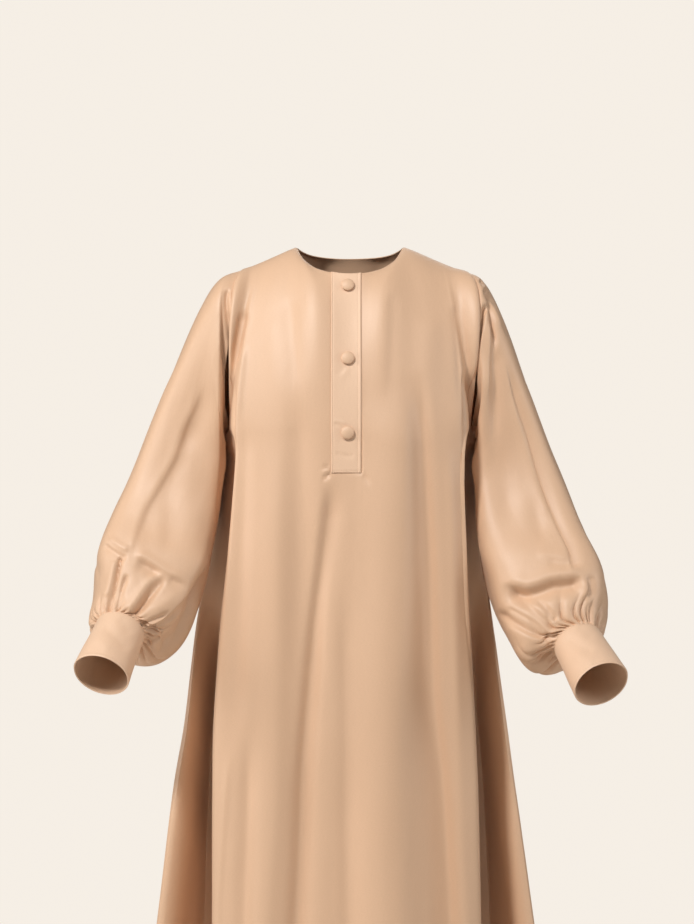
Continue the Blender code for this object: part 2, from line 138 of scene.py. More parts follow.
# ---------------------------------------------------------------- the sleeves
# Rings from just outside the armhole to the cuff's seam: centre, half sizes across the arm and
# from front to back, and which way the arm runs: swing from straight down, forward from upright.
Ring = namedtuple("Ring", "x y z across depth swing forward")
SLEEVE = {
    RIGHT: [
        Ring(183, 2, -121, 114, 68, 89, 2),
        Ring(197, 1, -148, 98, 64, 80, 4),
        Ring(216, 0, -201, 72, 62, 60, 5),
        Ring(231, -5, -251, 64, 60, 39, 8),
        Ring(248, -15, -316, 67, 62, 19, 15),
        Ring(265, -35, -373, 74, 66, 16, 25),
        Ring(278, -65, -423, 78, 68, 16, 32),
        Ring(289, -95, -477, 71, 62, 27, 38),
        Ring(306, -117, -503, 57, 56, 30, 44),
        Ring(313, -135, -495, 34, 34, 20, 45),
    ],
    LEFT: [
        Ring(188, 2, -122, 112, 68, 89, 2),
        Ring(201, 1, -156, 93, 64, 79, 4),
        Ring(218, 0, -212, 64, 60, 58, 5),
        Ring(231, -5, -267, 57, 58, 30, 8),
        Ring(243, -15, -321, 64, 61, 14, 15),
        Ring(255, -35, -379, 73, 66, 6, 25),
        Ring(270, -65, -428, 80, 68, 3, 32),
        Ring(282, -95, -470, 76, 62, 13, 38),
        Ring(295, -122, -511, 64, 52, 34, 43),
        Ring(310, -140, -512, 34, 34, 27, 48),
    ],
}
# How much squarer than an ellipse each ring is, from the one by the armhole to the cuff's.
SQUARENESS = [0.24, 0.32, 0.38, 0.4, 0.4, 0.38, 0.34, 0.24, 0.1, 0]
# Each sleeve starts this far inside the armhole, and each cuff laps this far over its sleeve.
SEAM_TUCK = 2.2 * MM
CUFF_LAP = 1.2 * MM
CUFF_LENGTH = 86 * MM
CUFF_RIM = 39 * MM

# ---------------------------------------------------------------- placket and buttons
PLACKET_LEFT_X = -26 * MM
PLACKET_RIGHT_X = 16 * MM
PLACKET_FOOT_Z = -281 * MM
BUTTON_X = -3 * MM
BUTTON_TOP_Z = -22 * MM
BUTTON_PITCH = 102 * MM
BUTTON_COUNT = 3
BUTTON_STANDS = 3.4 * MM
# The covered button's half section in millimetres, from its foot to the middle of its dome.
Turn = namedtuple("Turn", "radius height")
BUTTON_SECTION = [
    Turn(6.6, 0.1), Turn(7.9, 0.3), Turn(8.7, 0.9), Turn(9, 1.6), Turn(8.8, 2.35), Turn(8.3, 2.85),
    Turn(7.5, 3.4), Turn(6.3, 3.95), Turn(4.9, 4.4), Turn(3.2, 4.75), Turn(1.5, 4.95),
]
BUTTON_SHANK = [Turn(1.5, -1.4), Turn(1.4, -0.6), Turn(1.6, 0.02), Turn(5.2, 0.05)]
BUTTON_TOP = 5 * MM
BUTTON_HEEL = -1.4 * MM
BUTTON_SIDES = 64
BUTTON_SEED = 90
# The cover is drawn in small tucks, so many of each kind around it, below its widest part.
BUTTON_TUCKS = (17, 23, 29)
TUCK_DEPTH, TUCK_HEIGHT, TUCK_SPREAD, TUCK_RADIUS = 0.16, 0.6, 1.1, 6
# The patch of the front whose slope a button takes: half its size in columns and in rows.
PATCH_ACROSS, PATCH_DOWN = 0.01, 0.004
ROW_HALVINGS = 40

# ---------------------------------------------------------------- how finely each skin is cut
FRONT_COLUMNS, FRONT_ROWS = 307, 251
BACK_COLUMNS, BACK_ROWS = 201, 221
SLEEVE_COLUMNS, SLEEVE_ROWS = 264, 273
CUFF_COLUMNS, CUFF_ROWS = 176, 65
PLACKET_COLUMNS, PLACKET_ROWS = 61, 261
CLOTH_THICKNESS = 1.0 * MM
CUFF_THICKNESS = 1.6 * MM
PLACKET_THICKNESS = 0.9 * MM
SHARP_EDGE = math.radians(50)

# ---------------------------------------------------------------- sewing
STITCH_PITCH = 3.1 * MM
STITCH_LENGTH = 2.5 * MM
THREAD_RADIUS = 0.24 * MM
NECK_TURN = 6 * MM
HEM_TURN = 20 * MM
CUFF_SEAM_STITCH = 2.2 * MM
CUFF_RIM_STITCH = 5 * MM
PLACKET_STITCH = 2.4 * MM
PLACKET_LIP_STITCH = 5.4 * MM
PLACKET_FOOT_STITCH = 2.6 * MM
# A sewn edge dips by the second measure within the first of it.
SEAM_ROLL = (3 * MM, 1.3 * MM)
HEM_ROLL = (1.6 * MM, 0.7 * MM)
CUFF_SEAM_ROLL = (1.2 * MM, 0.4 * MM)
CUFF_RIM_ROLL = (2 * MM, 0.8 * MM)
PLACKET_TOP_ROLL = (2 * MM, 0.8 * MM)
GROOVE_DEPTH, GROOVE_HALF = 0.35 * MM, 0.9 * MM
# A turned edge stands this far proud, and comes level between these distances past its stitches.
TURN_PROUD = 0.45 * MM
TURN_STEP = (0.6 * MM, 2 * MM)

# ---------------------------------------------------------------- the placket's face
PLACKET_FACE = 2.0 * MM
PLACKET_LIP = 0.75 * MM
PLACKET_LEAST = 1.0 * MM
PLACKET_LEFT_ROLL = (1.1 * MM, 0.9 * MM)
PLACKET_FOOT_ROLL = (1.3 * MM, 0.9 * MM)
PLACKET_RIGHT_ROLL = (1.7 * MM, 1.6 * MM)
LIP_STEP = (2.4 * MM, 5 * MM)
STITCH_DIP, FOOT_DIP, STITCH_DIP_HALF = 0.5 * MM, 0.4 * MM, 0.8 * MM
# The front is left smooth under the placket, and its creases come back across this strip.
SMOOTH_RIM = (-1.5 * MM, 2.5 * MM)
RIPPLE_RIM = 8 * MM

# ---------------------------------------------------------------- easing and ripples
# The sharp line below each neck point is spread out in this many passes, over about this share of
# the way to the next control point. Each pass starts a step further down than the last and comes in
# over the fade.
NECK_EASING = 130
EASING_ROUND = 0.33
EASING_STEP = 0.35 * MM
EASING_FADE = 6 * MM
# Slight ripples of the cloth: their height, their size across and down it, and their seed.
Ripple = namedtuple("Ripple", "height across down seed")
ROBE_RIPPLES = [Ripple(0.5, 50, 220, 0), Ripple(0.16, 17, 70, 1)]
SLEEVE_RIPPLES = [Ripple(0.35, 30, 90, 40), Ripple(0.14, 12, 35, 50)]
CUFF_RIPPLES = [Ripple(0.5, 35, 30, 60)]
PLACKET_RIPPLES = [Ripple(0.22, 22, 40, 71)]
# Each panel's own number is added to its ripples' seeds, and each arm's side to its own.
RIPPLE_SEED = {"front": 8, "back": 13}
# The ripples of a sleeve or a cuff fade out within this much of where its columns begin and end.
JOIN_FADE = 12 * MM

# ================================================================ plain working functions


def smooth_step(low, high, value):
    """0 below low and 1 above high, with a smooth change between them."""
    share = np.clip((value - low) / (high - low), 0, 1)
    return share * share * (3 - 2 * share)


def bell(offset):
    """1 at no offset, falling smoothly to almost nothing at twice the width it is measured in."""
    return np.exp(-offset ** 2)


def hermite(start, leave, end, arrive, share):
    """A point on the cubic that leaves start and reaches end with the given tangents."""
    square, cube = share ** 2, share ** 3
    return (start * (2 * cube - 3 * square + 1) + leave * (cube - 2 * square + share)
            + end * (3 * square - 2 * cube) + arrive * (cube - square))


def lengths_along(points):
    """How far along the line each of its points is."""
    steps = np.linalg.norm(np.diff(points, axis=0), axis=-1)
    return np.concatenate([[0.0], np.cumsum(steps)])


def even_places(line, places, count, density=None):
    """Places at even distances along a line given by its points at the places."""
    weight = np.ones(len(line) - 1) if density is None else (density[1:] + density[:-1]) / 2
    steps = np.linalg.norm(np.diff(line, axis=0), axis=-1) * weight
    reach = np.concatenate([[0.0], np.cumsum(steps)])
    return np.interp(np.linspace(0, reach[-1], count), reach, places)


def smooth_line(path, steps=8):
    """A smooth line through the few points of a path."""
    path = np.array(path, float)
    ends = np.concatenate([[2 * path[0] - path[1]], path, [2 * path[-1] - path[-2]]])
    share = np.linspace(0, 1, steps, endpoint=False)[:, None]
    made = [hermite(ends[k], (ends[k + 1] - ends[k - 1]) / 2, ends[k + 1],
                    (ends[k + 2] - ends[k]) / 2, share) for k in range(1, len(path))]
    return np.concatenate(made + [path[-1:]])


def undulation(across, down, cell_across, cell_down, seed):
    """Smooth uneven swells between -1 and 1, from one random value at each cell's corner."""
    x, y = across / cell_across, down / cell_down
    x, y = x - x.min(), y - y.min()
    i, j = np.floor(x).astype(int), np.floor(y).astype(int)
    chance = np.random.default_rng(seed).uniform(-1, 1, (i.max() + 2, j.max() + 2))
    x, y = smooth_step(0, 1, x - i), smooth_step(0, 1, y - j)
    return ((chance[i, j] * (1 - x) + chance[i + 1, j] * x) * (1 - y)
            + (chance[i, j + 1] * (1 - x) + chance[i + 1, j + 1] * x) * y)


def rippled(across, down, ripples, seed=0):
    """How far a piece's slight ripples move its cloth."""
    return sum(ripple.height * MM * undulation(across, down, ripple.across * MM, ripple.down * MM,
                                               ripple.seed + seed) for ripple in ripples)


def away_from_join(across):
    """0 at the line where a closed piece's columns begin and end, and 1 away from it."""
    return smooth_step(0, JOIN_FADE, across) * smooth_step(0, JOIN_FADE, across[:, -1:] - across)


def placed(name, data):
    """An object of these data, in the scene."""
    made = bpy.data.objects.new(name, data)
    bpy.context.scene.collection.objects.link(made)
    return made


# ================================================================ the worn form


def level_rows(heights):
    """The table of levels run through smoothly: one row of it, in metres, for each height."""
    table = np.array(LEVELS, float) * MM
    z = table[:, 0]
    places = np.clip(heights, z[-1], z[0])
    upper = np.clip(np.searchsorted(-z, -places, side="right") - 1, 0, len(z) - 2)
    first, last = table[upper], table[upper + 1]
    before, after = table[np.maximum(upper - 1, 0)], table[np.minimum(upper + 2, len(z) - 1)]
    span = last[:, :1] - first[:, :1]
    share = (places[:, None] - first[:, :1]) / span
    leave = (last - before) / (last[:, :1] - before[:, :1]) * span
    arrive = (after - first) / (after[:, :1] - first[:, :1]) * span
    return Level(*hermite(first, leave, last, arrive, share).T)


def both_sides(left, right):
    """Sixteen values round the loop from the nine of each half."""
    return np.concatenate([left, right[..., -2:0:-1, :]], axis=-2)


def plain_turns(values):
    """The way the loop runs at each of its control points: along the line between its neighbours."""
    return (np.roll(values, -1, -2) - np.roll(values, 1, -2)) / 2


def section_turns(values):
    """The same for a section, which turns squarely across the tip of the fold at each side seam."""
    turns = plain_turns(values) * np.array(ROUNDNESS + ROUNDNESS[-2:0:-1])[:, None]
    for seam in (SIDE_SEAM, LOOP - SIDE_SEAM):
        before, tip, after = (values[..., seam + k, :] for k in (-1, 0, 1))
        axis = tip - (before + after) / 2
        square = np.stack([-axis[..., 1], axis[..., 0], np.zeros(axis.shape[:-1])], -1)
        reach = np.linalg.norm(tip - before, axis=-1) + np.linalg.norm(after - tip, axis=-1)
        length = np.linalg.norm(square, axis=-1)
        turns[..., seam, :] = square * (SIDE_ROUNDNESS * reach / length)[..., None]
    return turns


def around(values, turns, q):
    """The value at each place q on the closed loop of sixteen control points."""
    index = np.floor(q).astype(int)
    first, last = index % LOOP, (index + 1) % LOOP
    return hermite(values[..., first, :], turns[..., first, :], values[..., last, :],
                   turns[..., last, :], (q - index)[:, None])


def level_controls(heights):
    """The section's sixteen control points at each height."""
    level = level_rows(heights)
    halves = []
    for sign, side, edge in ((LEFT, level.side_l, level.edge_l), (RIGHT, level.side_r, level.edge_r)):
        back_edge = edge * BACK_EDGE
        back_corner = level.back - BACK_CORNER
        middle = np.zeros_like(edge)
        places = [
            (middle, -level.front),
            (edge * MID_PANEL, -level.front + MID_PANEL_DROP * (level.front - level.corner)),
            (edge, -level.corner),
            (edge + level.out, level.dip - level.corner),
            (side, level.side_y),
            (back_edge + level.back_out, back_corner - level.back_dip),
            (back_edge, back_corner),
            (back_edge * MID_PANEL, level.back),
            (middle, level.back),
        ]
        halves.append(np.stack([np.stack([sign * x, y, heights], -1) for x, y in places], -2))
    return both_sides(*halves)


def top_edge(q):
    """The neckline and the two shoulder seams."""
    place = (q + BACK_MIDDLE) % LOOP - BACK_MIDDLE
    sign = np.where(place >= 0, LEFT, RIGHT)[:, None]
    place = np.abs(place)
    neck_middle = np.where(place[:, None] < SIDE_SEAM, NECK_FRONT, NECK_BACK)
    place = np.minimum(place, BACK_MIDDLE - place)
    lift = np.sqrt(np.clip(1 - place ** 2, 0, 1))[:, None]
    neck = NECK_POINT + (neck_middle - NECK_POINT) * lift
    neck[:, 0] = NECK_POINT[0] * place
    index = np.clip(place.astype(int), 1, SIDE_SEAM - 1)
    near, far = SHOULDER_SHARE[index - 1], SHOULDER_SHARE[index]
    tip = np.where(sign > 0, SHOULDER_TIP[LEFT], SHOULDER_TIP[RIGHT])
    shoulder = NECK_POINT + (tip - NECK_POINT) * (near + (far - near) * (place - index))[:, None]
    points = np.where(place[:, None] < 1, neck, shoulder)
    points[:, 0] *= sign[:, 0]
    return points


def yoke_form(q, rows, panel):
    """Points above the underarm level, on curves from the top edge down to that level."""
    keep_front, keep_back = (5, 4) if panel == "front" else (4, 5)
    half = YOKE["front"][:keep_front] + YOKE["back"][:keep_back][::-1]
    tops = np.array([(0, y.top_y, y.top_z) for y in half], float) * MM
    lows = np.array([(0, y.low_y, y.low_z) for y in half], float) * MM
    tops, lows = both_sides(tops, tops), both_sides(lows, lows)
    for sign, spread in ARMHOLE_SPREAD.items():
        tops[sign * SIDE_SEAM, 0] += sign * spread.top * MM
        lows[sign * SIDE_SEAM, 0] += sign * spread.low * MM
    low = level_controls(np.array([UNDERARM_Z]))[0]
    return hermite(top_edge(q), around(tops, plain_turns(tops), q), around(low, section_turns(low), q),
                   around(lows, plain_turns(lows), q), rows[:, None, None])


def fold_depth(folds, x, z):
    """How far the hanging folds push the cloth in at each place."""
    total = np.zeros_like(x)
    for fold in folds:
        top, middle, low = fold.z_top * MM, fold.z_mid * MM, fold.z_low * MM
        upper = fold.x_top + (fold.x_mid - fold.x_top) * (top - z) / (top - middle)
        lower = fold.x_mid + (fold.x_low - fold.x_mid) * (middle - z) / (middle - low)
        line = np.where(z > middle, upper, lower) * MM
        grow = smooth_step(0, 1, (top - z) / (FOLD_GROWS * (top - low)))
        total += fold.depth * MM * bell((x - line) / (fold.width * MM)) * grow
    return total


def robe_form(q, rows, panel):
    """The robe's outside: row 0 to 1 is the yoke, and 1 to 2 runs down to the hem."""
    q, rows = np.asarray(q, float), np.asarray(rows, float)
    points = np.empty((len(rows), len(q), 3))
    yoke = rows < 1
    points[yoke] = yoke_form(q, rows[yoke], panel)
    heights = UNDERARM_Z + (rows[~yoke] - 1) * (HEM_Z - UNDERARM_Z)
    controls = level_controls(heights)
    points[~yoke] = around(controls, section_turns(controls), q)
    inward = 1 if panel == "front" else -1
    points[..., 1] += inward * fold_depth(FOLDS[panel], points[..., 0], points[..., 2])
    return points


def armhole(sign, v):
    """The armhole from the shoulder tip (0) down the front to the underarm (0.5) and back up."""
    place = [sign * SIDE_SEAM]
    front = robe_form(place, 2 * np.minimum(v, 0.5), "front")[:, 0]
    back = robe_form(place, 2 - 2 * np.maximum(v, 0.5), "back")[:, 0]
    return np.where(v[:, None] <= 0.5, front, back)


def arm_axes(ring, sign):
    """Which way the arm runs at a ring, which way is out across it, and which way is forward."""
    swing, forward = math.radians(ring.swing), math.radians(ring.forward)
    run = (sign * math.sin(swing) * math.cos(forward), -math.sin(forward),
           -math.cos(swing) * math.cos(forward))
    across = (sign * math.cos(swing), 0, math.sin(swing))
    ahead = (-sign * math.sin(swing) * math.sin(forward), -math.cos(forward),
             math.cos(swing) * math.sin(forward))
    return np.array(run), np.array(across), np.array(ahead)


def ring_line(ring, squareness, sign, v):
    """The line round the arm at a ring, from its outer side (0) by the front back to it (1)."""
    centre = np.array((sign * ring.x, ring.y, ring.z))
    _, across, ahead = arm_axes(ring, sign)
    angle = 2 * math.pi * v[:, None]
    out, forth = np.cos(angle), np.sin(angle)
    out, forth = out * (1 + squareness * forth ** 2), forth * (1 + squareness * out ** 2)
    return (centre + across * ring.across * out + ahead * ring.depth * forth) * MM


def sleeve_form(sign, v, rows):
    """A sleeve's outside: row 0 is tucked inside the armhole, and the last row is the cuff's seam."""
    rings = SLEEVE[sign]
    start = armhole(sign, v) - np.array((sign * SEAM_TUCK, 0, 0))
    hung = [ring_line(ring, squareness, sign, v) for ring, squareness in zip(rings, SQUARENESS)]
    stations = np.stack([start] + hung)
    last_row = len(rings)
    index = np.minimum(rows.astype(int), last_row - 1)
    first, last = stations[index], stations[index + 1]
    before = stations[np.maximum(index - 1, 0)]
    after = stations[np.minimum(index + 2, last_row)]
    leave = (last - before) * np.where(index > 0, 0.5, 1.0)[:, None, None]
    arrive = (after - first) * np.where(index + 2 <= last_row, 0.5, 1.0)[:, None, None]
    return hermite(first, leave, last, arrive, (rows - index)[:, None, None])


def cuff_form(sign, v, shares):
    """A cuff's outside, from just above its seam with the sleeve to its rim."""
    seam = SLEEVE[sign][-1]
    run, across, ahead = arm_axes(seam, sign)
    angle = 2 * math.pi * v[None, :, None]
    shares = shares[:, None, None]
    radius = seam.across * MM + (CUFF_RIM - seam.across * MM) * shares
    centre = np.array((sign * seam.x, seam.y, seam.z)) * MM
    return (centre + run * (CUFF_LENGTH * shares - CUFF_LAP)
            + across * radius * np.cos(angle) + ahead * radius * np.sin(angle))


# ================================================================ cloth as a grid of points

# points and normals are rows by columns by 3. across and down are how far each point lies along
# the cloth, across the grain and with it, in metres.
Cloth = namedtuple("Cloth", "points normals across down closed turned")


def outward_normals(points, closed, turned):
    """Unit normals of a grid of points. turned says that its plain normals would point in."""
    down = np.gradient(points, axis=0)
    if closed:
        across = np.roll(points, -1, 1) - np.roll(points, 1, 1)
    else:
        across = np.gradient(points, axis=1)
    normals = np.cross(across, down) * (-1 if turned else 1)
    return normals / np.maximum(np.linalg.norm(normals, axis=-1, keepdims=True), 1e-12)


def lay_cloth(points, closed=False, turned=False):
    """The cloth on a grid of points, with how far along the cloth each point lies."""
    wide = np.concatenate([points, points[:, :1]], 1) if closed else points
    step_across = np.linalg.norm(np.diff(wide, axis=1), axis=-1)
    across = np.concatenate([np.zeros((len(points), 1)), np.cumsum(step_across, 1)], 1)
    if not closed:
        across -= across[:, across.shape[1] // 2][:, None]
    step_down = np.linalg.norm(np.diff(wide, axis=0), axis=-1)
    down = np.concatenate([np.zeros((1, wide.shape[1])), np.cumsum(step_down, 0)])
    return Cloth(points, outward_normals(points, closed, turned), across, down, closed, turned)


def pressed(cloth, depth):
    """The cloth with each point pushed in by depth, and the weave left where it was."""
    points = cloth.points - cloth.normals * depth[..., None]
    return cloth._replace(points=points, normals=outward_normals(points, cloth.closed, cloth.turned))


def shell(name, cloth, thickness, look):
    """A closed thin wall under a cloth's points. The inner skin has half as many each way."""
    inside = (cloth.points - cloth.normals * thickness)[::2, ::2]
    spread = np.stack([cloth.across, cloth.down], -1)
    corners, vertices, weave, start = [], [], [], 0
    for points, flat in ((cloth.points, spread), (inside, spread[::2, ::2])):
        grid = start + np.arange(points.shape[0] * points.shape[1]).reshape(points.shape[:2])
        start += grid.size
        if cloth.closed:
            grid = np.concatenate([grid, grid[:, :1]], 1)
        first = sum(part.size for part in corners)
        corners.append(first + np.arange(grid.size).reshape(grid.shape))
        vertices.append(grid.ravel())
        weave.append(flat.reshape(-1, 2))
    out, inn = corners
    faces = [
        (out[:-1, :-1], out[:-1, 1:], out[1:, 1:], out[1:, :-1]),
        (inn[1:, :-1], inn[1:, 1:], inn[:-1, 1:], inn[:-1, :-1]),
        (out[0, 2::2], out[0, 1::2], out[0, :-1:2], inn[0, :-1], inn[0, 1:]),
        (out[-1, :-1:2], out[-1, 1::2], out[-1, 2::2], inn[-1, 1:], inn[-1, :-1]),
    ]
    if not cloth.closed:
        faces += [
            (out[:-1:2, 0], out[1::2, 0], out[2::2, 0], inn[1:, 0], inn[:-1, 0]),
            (out[2::2, -1], out[1::2, -1], out[:-1:2, -1], inn[:-1, -1], inn[1:, -1]),
        ]
    faces = [np.stack(face, -1).reshape(-1, len(face)) for face in faces]
    if cloth.turned:
        faces = [face[:, ::-1] for face in faces]
    places = np.concatenate([cloth.points.reshape(-1, 3), inside.reshape(-1, 3)])
    return mesh_piece(name, places, faces, look, np.concatenate(vertices), np.concatenate(weave))


def mesh_piece(name, places, faces, look, vertex_of, weave_of):
    """An object from arrays of faces, whose corners name a vertex and a place in the weave."""
    loops = np.concatenate([face.ravel() for face in faces])
    sizes = np.concatenate([np.full(len(face), face.shape[1]) for face in faces])
    mesh = bpy.data.meshes.new(name)
    mesh.vertices.add(len(places))
    mesh.vertices.foreach_set("co", places.astype(np.float32).ravel())
    mesh.loops.add(len(loops))
    mesh.loops.foreach_set("vertex_index", vertex_of[loops].astype(np.int32))
    mesh.polygons.add(len(sizes))
    mesh.polygons.foreach_set("loop_start", (np.cumsum(sizes) - sizes).astype(np.int32))
    mesh.update(calc_edges=True)
    weave = mesh.uv_layers.new(name="weave")
    weave.data.foreach_set("uv", weave_of[loops].astype(np.float32).ravel())
    mesh.shade_smooth()
    mesh.set_sharp_from_angle(angle=SHARP_EDGE)
    mesh.materials.append(look)
    return placed(name, mesh)


# ================================================================ creases laid on

# A crease is drawn as it looks from one side, from the viewing distance: its path is on the
# upright plane through the shoulders. A piece's creases are listed by the side they are seen from.
# depth is how far one presses in, and a ridge has a negative depth. before and after are how far it
# spreads on either side of its path: before is on the left of someone walking along it. begin and
# finish are the lengths it fades over at its ends.
VIEW_DISTANCE = 3400 * MM
EYE_X, EYE_Z = -4 * MM, -266 * MM
EYES = {
    "front": (EYE_X, -VIEW_DISTANCE, EYE_Z),
    "back": (EYE_X, VIEW_DISTANCE, EYE_Z),
    "right": (-VIEW_DISTANCE, 0, EYE_Z),
    "left": (VIEW_DISTANCE, 0, EYE_Z),
}
Crease = namedtuple("Crease", "depth before after begin finish path")
# A crease is worked out as far off as this many times its own width, and it fades out where the
# cloth turns away from the eye, between these two measures of how squarely the cloth faces it.
CREASE_REACH = 2.6
FACING = (0.02, 0.25)


def seen_from(side, points, normals):
    """Where each point lies as seen from one side, and how squarely it faces that way."""
    eye = np.array(EYES[side])
    axis = 1 if side in ("front", "back") else 0
    away = points - eye
    flat = eye + away * (-eye[axis] / away[..., axis])[..., None]
    look = -away / np.linalg.norm(away, axis=-1, keepdims=True)
    facing = (normals * look).sum(-1)
    return flat[..., 1 - axis], flat[..., 2], smooth_step(*FACING, facing)


def crease_depth(crease, across, up):
    """How far one crease presses in at each place of the plane it was drawn on."""
    line = smooth_line(crease.path) * MM
    reach = CREASE_REACH * max(crease.before, crease.after) * MM
    low, high = line.min(0) - reach, line.max(0) + reach
    near = (across > low[0]) & (across < high[0]) & (up > low[1]) & (up < high[1])
    depth = np.zeros_like(across)
    if not near.any():
        return depth
    place = np.stack([across[near], up[near]], -1)
    least = np.full(len(place), np.inf)
    side, along = np.zeros(len(place)), np.zeros(len(place))
    marks = lengths_along(line)
    for first, last, mark in zip(line, line[1:], marks):
        way = last - first
        length = math.hypot(*way)
        offset = place - first
        share = np.clip(offset @ way / length ** 2, 0, 1)
        gap = np.linalg.norm(offset - share[:, None] * way, axis=-1)
        closer = gap < least
        least = np.where(closer, gap, least)
        turn = way[0] * offset[:, 1] - way[1] * offset[:, 0]
        side = np.where(closer, turn, side)
        along = np.where(closer, mark + share * length, along)
    width = np.where(side > 0, crease.before, crease.after) * MM
    fade = np.ones(len(place))
    if crease.begin:
        fade *= smooth_step(0, crease.begin * MM, along)
    if crease.finish:
        fade *= smooth_step(0, crease.finish * MM, marks[-1] - along)
    depth[near] = crease.depth * MM * bell(least / width) * fade
    return depth


def creased(cloth, creases):
    """How far all of a piece's creases press its points in."""
    total = np.zeros(cloth.points.shape[:2])
    for side, rows in creases.items():
        across, up, facing = seen_from(side, cloth.points, cloth.normals)
        for row in rows:
            total += crease_depth(Crease(*row), across, up) * facing
    return total


FRONT_CREASES = {
    "front": [
        # the long sharp fall from the placket's foot, and the softer one that runs into it
        (9.2, 14, 9, 60, 0, [(-26, -288), (-30, -340), (-38, -405), (-49, -490), (-60, -604),
            (-69, -718), (-74, -831), (-79, -922), (-88, -1150), (-97, -1378)]),
        (5.0, 20, 18, 90, 190, [(-76, -150), (-73, -250), (-72, -380), (-71, -500), (-68, -620)]),
        (3.3, 40, 24, 160, 0, [(-62, -640), (-66, -760), (-70, -922), (-84, -1378)]),
        # the swell on their right and the narrow band outside it
        (-6.0, 20, 25, 200, 0, [(-104, -190), (-105, -400), (-106, -640), (-108, -760), (-114, -860),
            (-118, -922), (-124, -1150), (-132, -1378)]),
        (8.6, 14, 15, 120, 0, [(-142, -620), (-146, -718), (-149, -831), (-152, -922), (-156, -1378)]),
        (-2.2, 5, 5, 60, 0, [(-171, -670), (-178, -760), (-184, -850), (-187, -922), (-190, -1378)]),
        # the broad swell in the middle and the left-hand fall beside it
        (-11.0, 32, 46, 90, 0, [(72, -150), (78, -206), (71, -320), (66, -462), (62, -604), (62, -746),
            (64, -888), (76, -1378)]),
        (11.0, 10, 20, 90, 0, [(98, -130), (104, -230), (109, -320), (113, -405), (115, -490),
            (119, -604), (131, -718), (138, -831), (142, -909), (152, -1150), (163, -1378)]),
        (-3.0, 11, 8, 70, 0, [(140, -240), (146, -330), (149, -490), (152, -604), (155, -718),
            (159, -831), (163, -922), (172, -1378)]),
        (3.0, 18, 12, 110, 0, [(-6, -420), (-4, -640), (0, -922), (8, -1378)]),
        (-2.6, 12, 16, 60, 130, [(-34, -300), (-32, -380), (-40, -480), (-48, -580)]),
        # the pressed edges of the front, and the soft lines just inside them
        (9.0, 30, 6, 40, 60, [(166, -130), (168, -178), (168, -222), (168, -255)]),
        (6.0, 4.5, 26, 40, 60, [(-166, -130), (-168, -178), (-168.5, -222), (-168, -255)]),
        (3.8, 12, 14, 60, 120, [(-150, -200), (-152, -300), (-156, -420), (-158, -560), (-158, -680)]),
        (6.0, 26, 20, 90, 160, [(163, -190), (164, -263), (166, -377), (168, -490), (172, -620)]),
        (5.5, 24, 40, 160, 0, [(-14, -640), (-14, -760), (-13, -900), (-10, -1378)]),
        # from the shoulders
        (4.2, 4, 8, 18, 60, [(-146, -48), (-152, -74), (-158, -112), (-163, -158)]),
        (-2.8, 6, 3, 30, 40, [(-149, -92), (-152, -116), (-158, -178), (-160, -220)]),
        (-1.2, 18, 15, 30, 100, [(-112, -50), (-106, -120), (-101, -230)]),
        (1.9, 10, 12, 20, 80, [(-84, -30), (-80, -96), (-74, -190)]),
        (-2.3, 15, 16, 30, 100, [(116, -50), (110, -130), (106, -240)]),
        (2.8, 7, 5, 20, 60, [(146, -40), (152, -80), (156, -140), (156, -200)]),
        (1.8, 9, 9, 20, 70, [(62, -20), (60, -100), (56, -190)]),
        # puckers at the placket's foot
        (2.6, 3, 2.4, 2, 8, [(-27, -283), (-34, -287), (-41, -292)]),
        (-1.3, 3, 3, 2, 8, [(-28, -277), (-35, -280), (-42, -283)]),
        (1.4, 2.2, 2.4, 2, 6, [(-29, -272), (-35, -273), (-41, -274)]),
        (1.4, 3, 3, 3, 12, [(18, -284), (24, -290), (31, -300)]),
        # the round fall of each side below the hip
        (-8.0, 16, 22, 170, 0, [(-222, -640), (-232, -760), (-246, -880), (-262, -1040), (-292, -1378)]),
        (-8.0, 22, 16, 170, 0, [(212, -640), (222, -760), (236, -880), (252, -1040), (282, -1378)]),
    ],
    "right": [
        # where the sides turn towards the back
        (5.0, 20, 14, 160, 0, [(52, -560), (58, -800), (60, -1378)]),
    ],
    "left": [
        (5.0, 14, 20, 160, 0, [(56, -600), (60, -830), (66, -1378)]),
    ],
}
BACK_CREASES = {
    "back": [
        (6.3, 12, 10, 90, 0, [(-31, -200), (-38, -420), (-43, -700), (-52, -1000), (-60, -1378)]),
        (-3.3, 13, 16, 90, 0, [(-66, -180), (-74, -420), (-83, -700), (-95, -1000), (-110, -1378)]),
        (5.7, 10, 14, 110, 0, [(24, -240), (28, -460), (33, -740), (38, -1020), (44, -1378)]),
        (4.5, 14, 9, 130, 0, [(88, -260), (96, -480), (108, -760), (122, -1060), (136, -1378)]),
        (-3.0, 16, 12, 120, 0, [(118, -330), (130, -560), (142, -820), (160, -1378)]),
        (4.8, 9, 14, 150, 0, [(-116, -300), (-128, -540), (-140, -800), (-158, -1378)]),
        (-2.7, 10, 10, 70, 140, [(-136, -140), (-142, -260), (-150, -420)]),
        (2.8, 8, 10, 40, 90, [(-128, -40), (-134, -110), (-140, -210)]),
        (2.5, 10, 8, 40, 90, [(132, -50), (138, -120), (142, -220)]),
        (2.1, 12, 12, 30, 110, [(-70, -10), (-62, -90), (-50, -200)]),
        (2.0, 12, 12, 30, 110, [(66, -14), (60, -100), (46, -230)]),
        (2.2, 12, 14, 160, 0, [(2, -560), (0, -820), (-4, -1378)]),
    ],
    "right": [
        (-5.0, 16, 20, 170, 0, [(104, -600), (110, -860), (122, -1378)]),
    ],
    "left": [
        (-5.0, 20, 16, 170, 0, [(100, -620), (108, -880), (120, -1378)]),
    ],
}
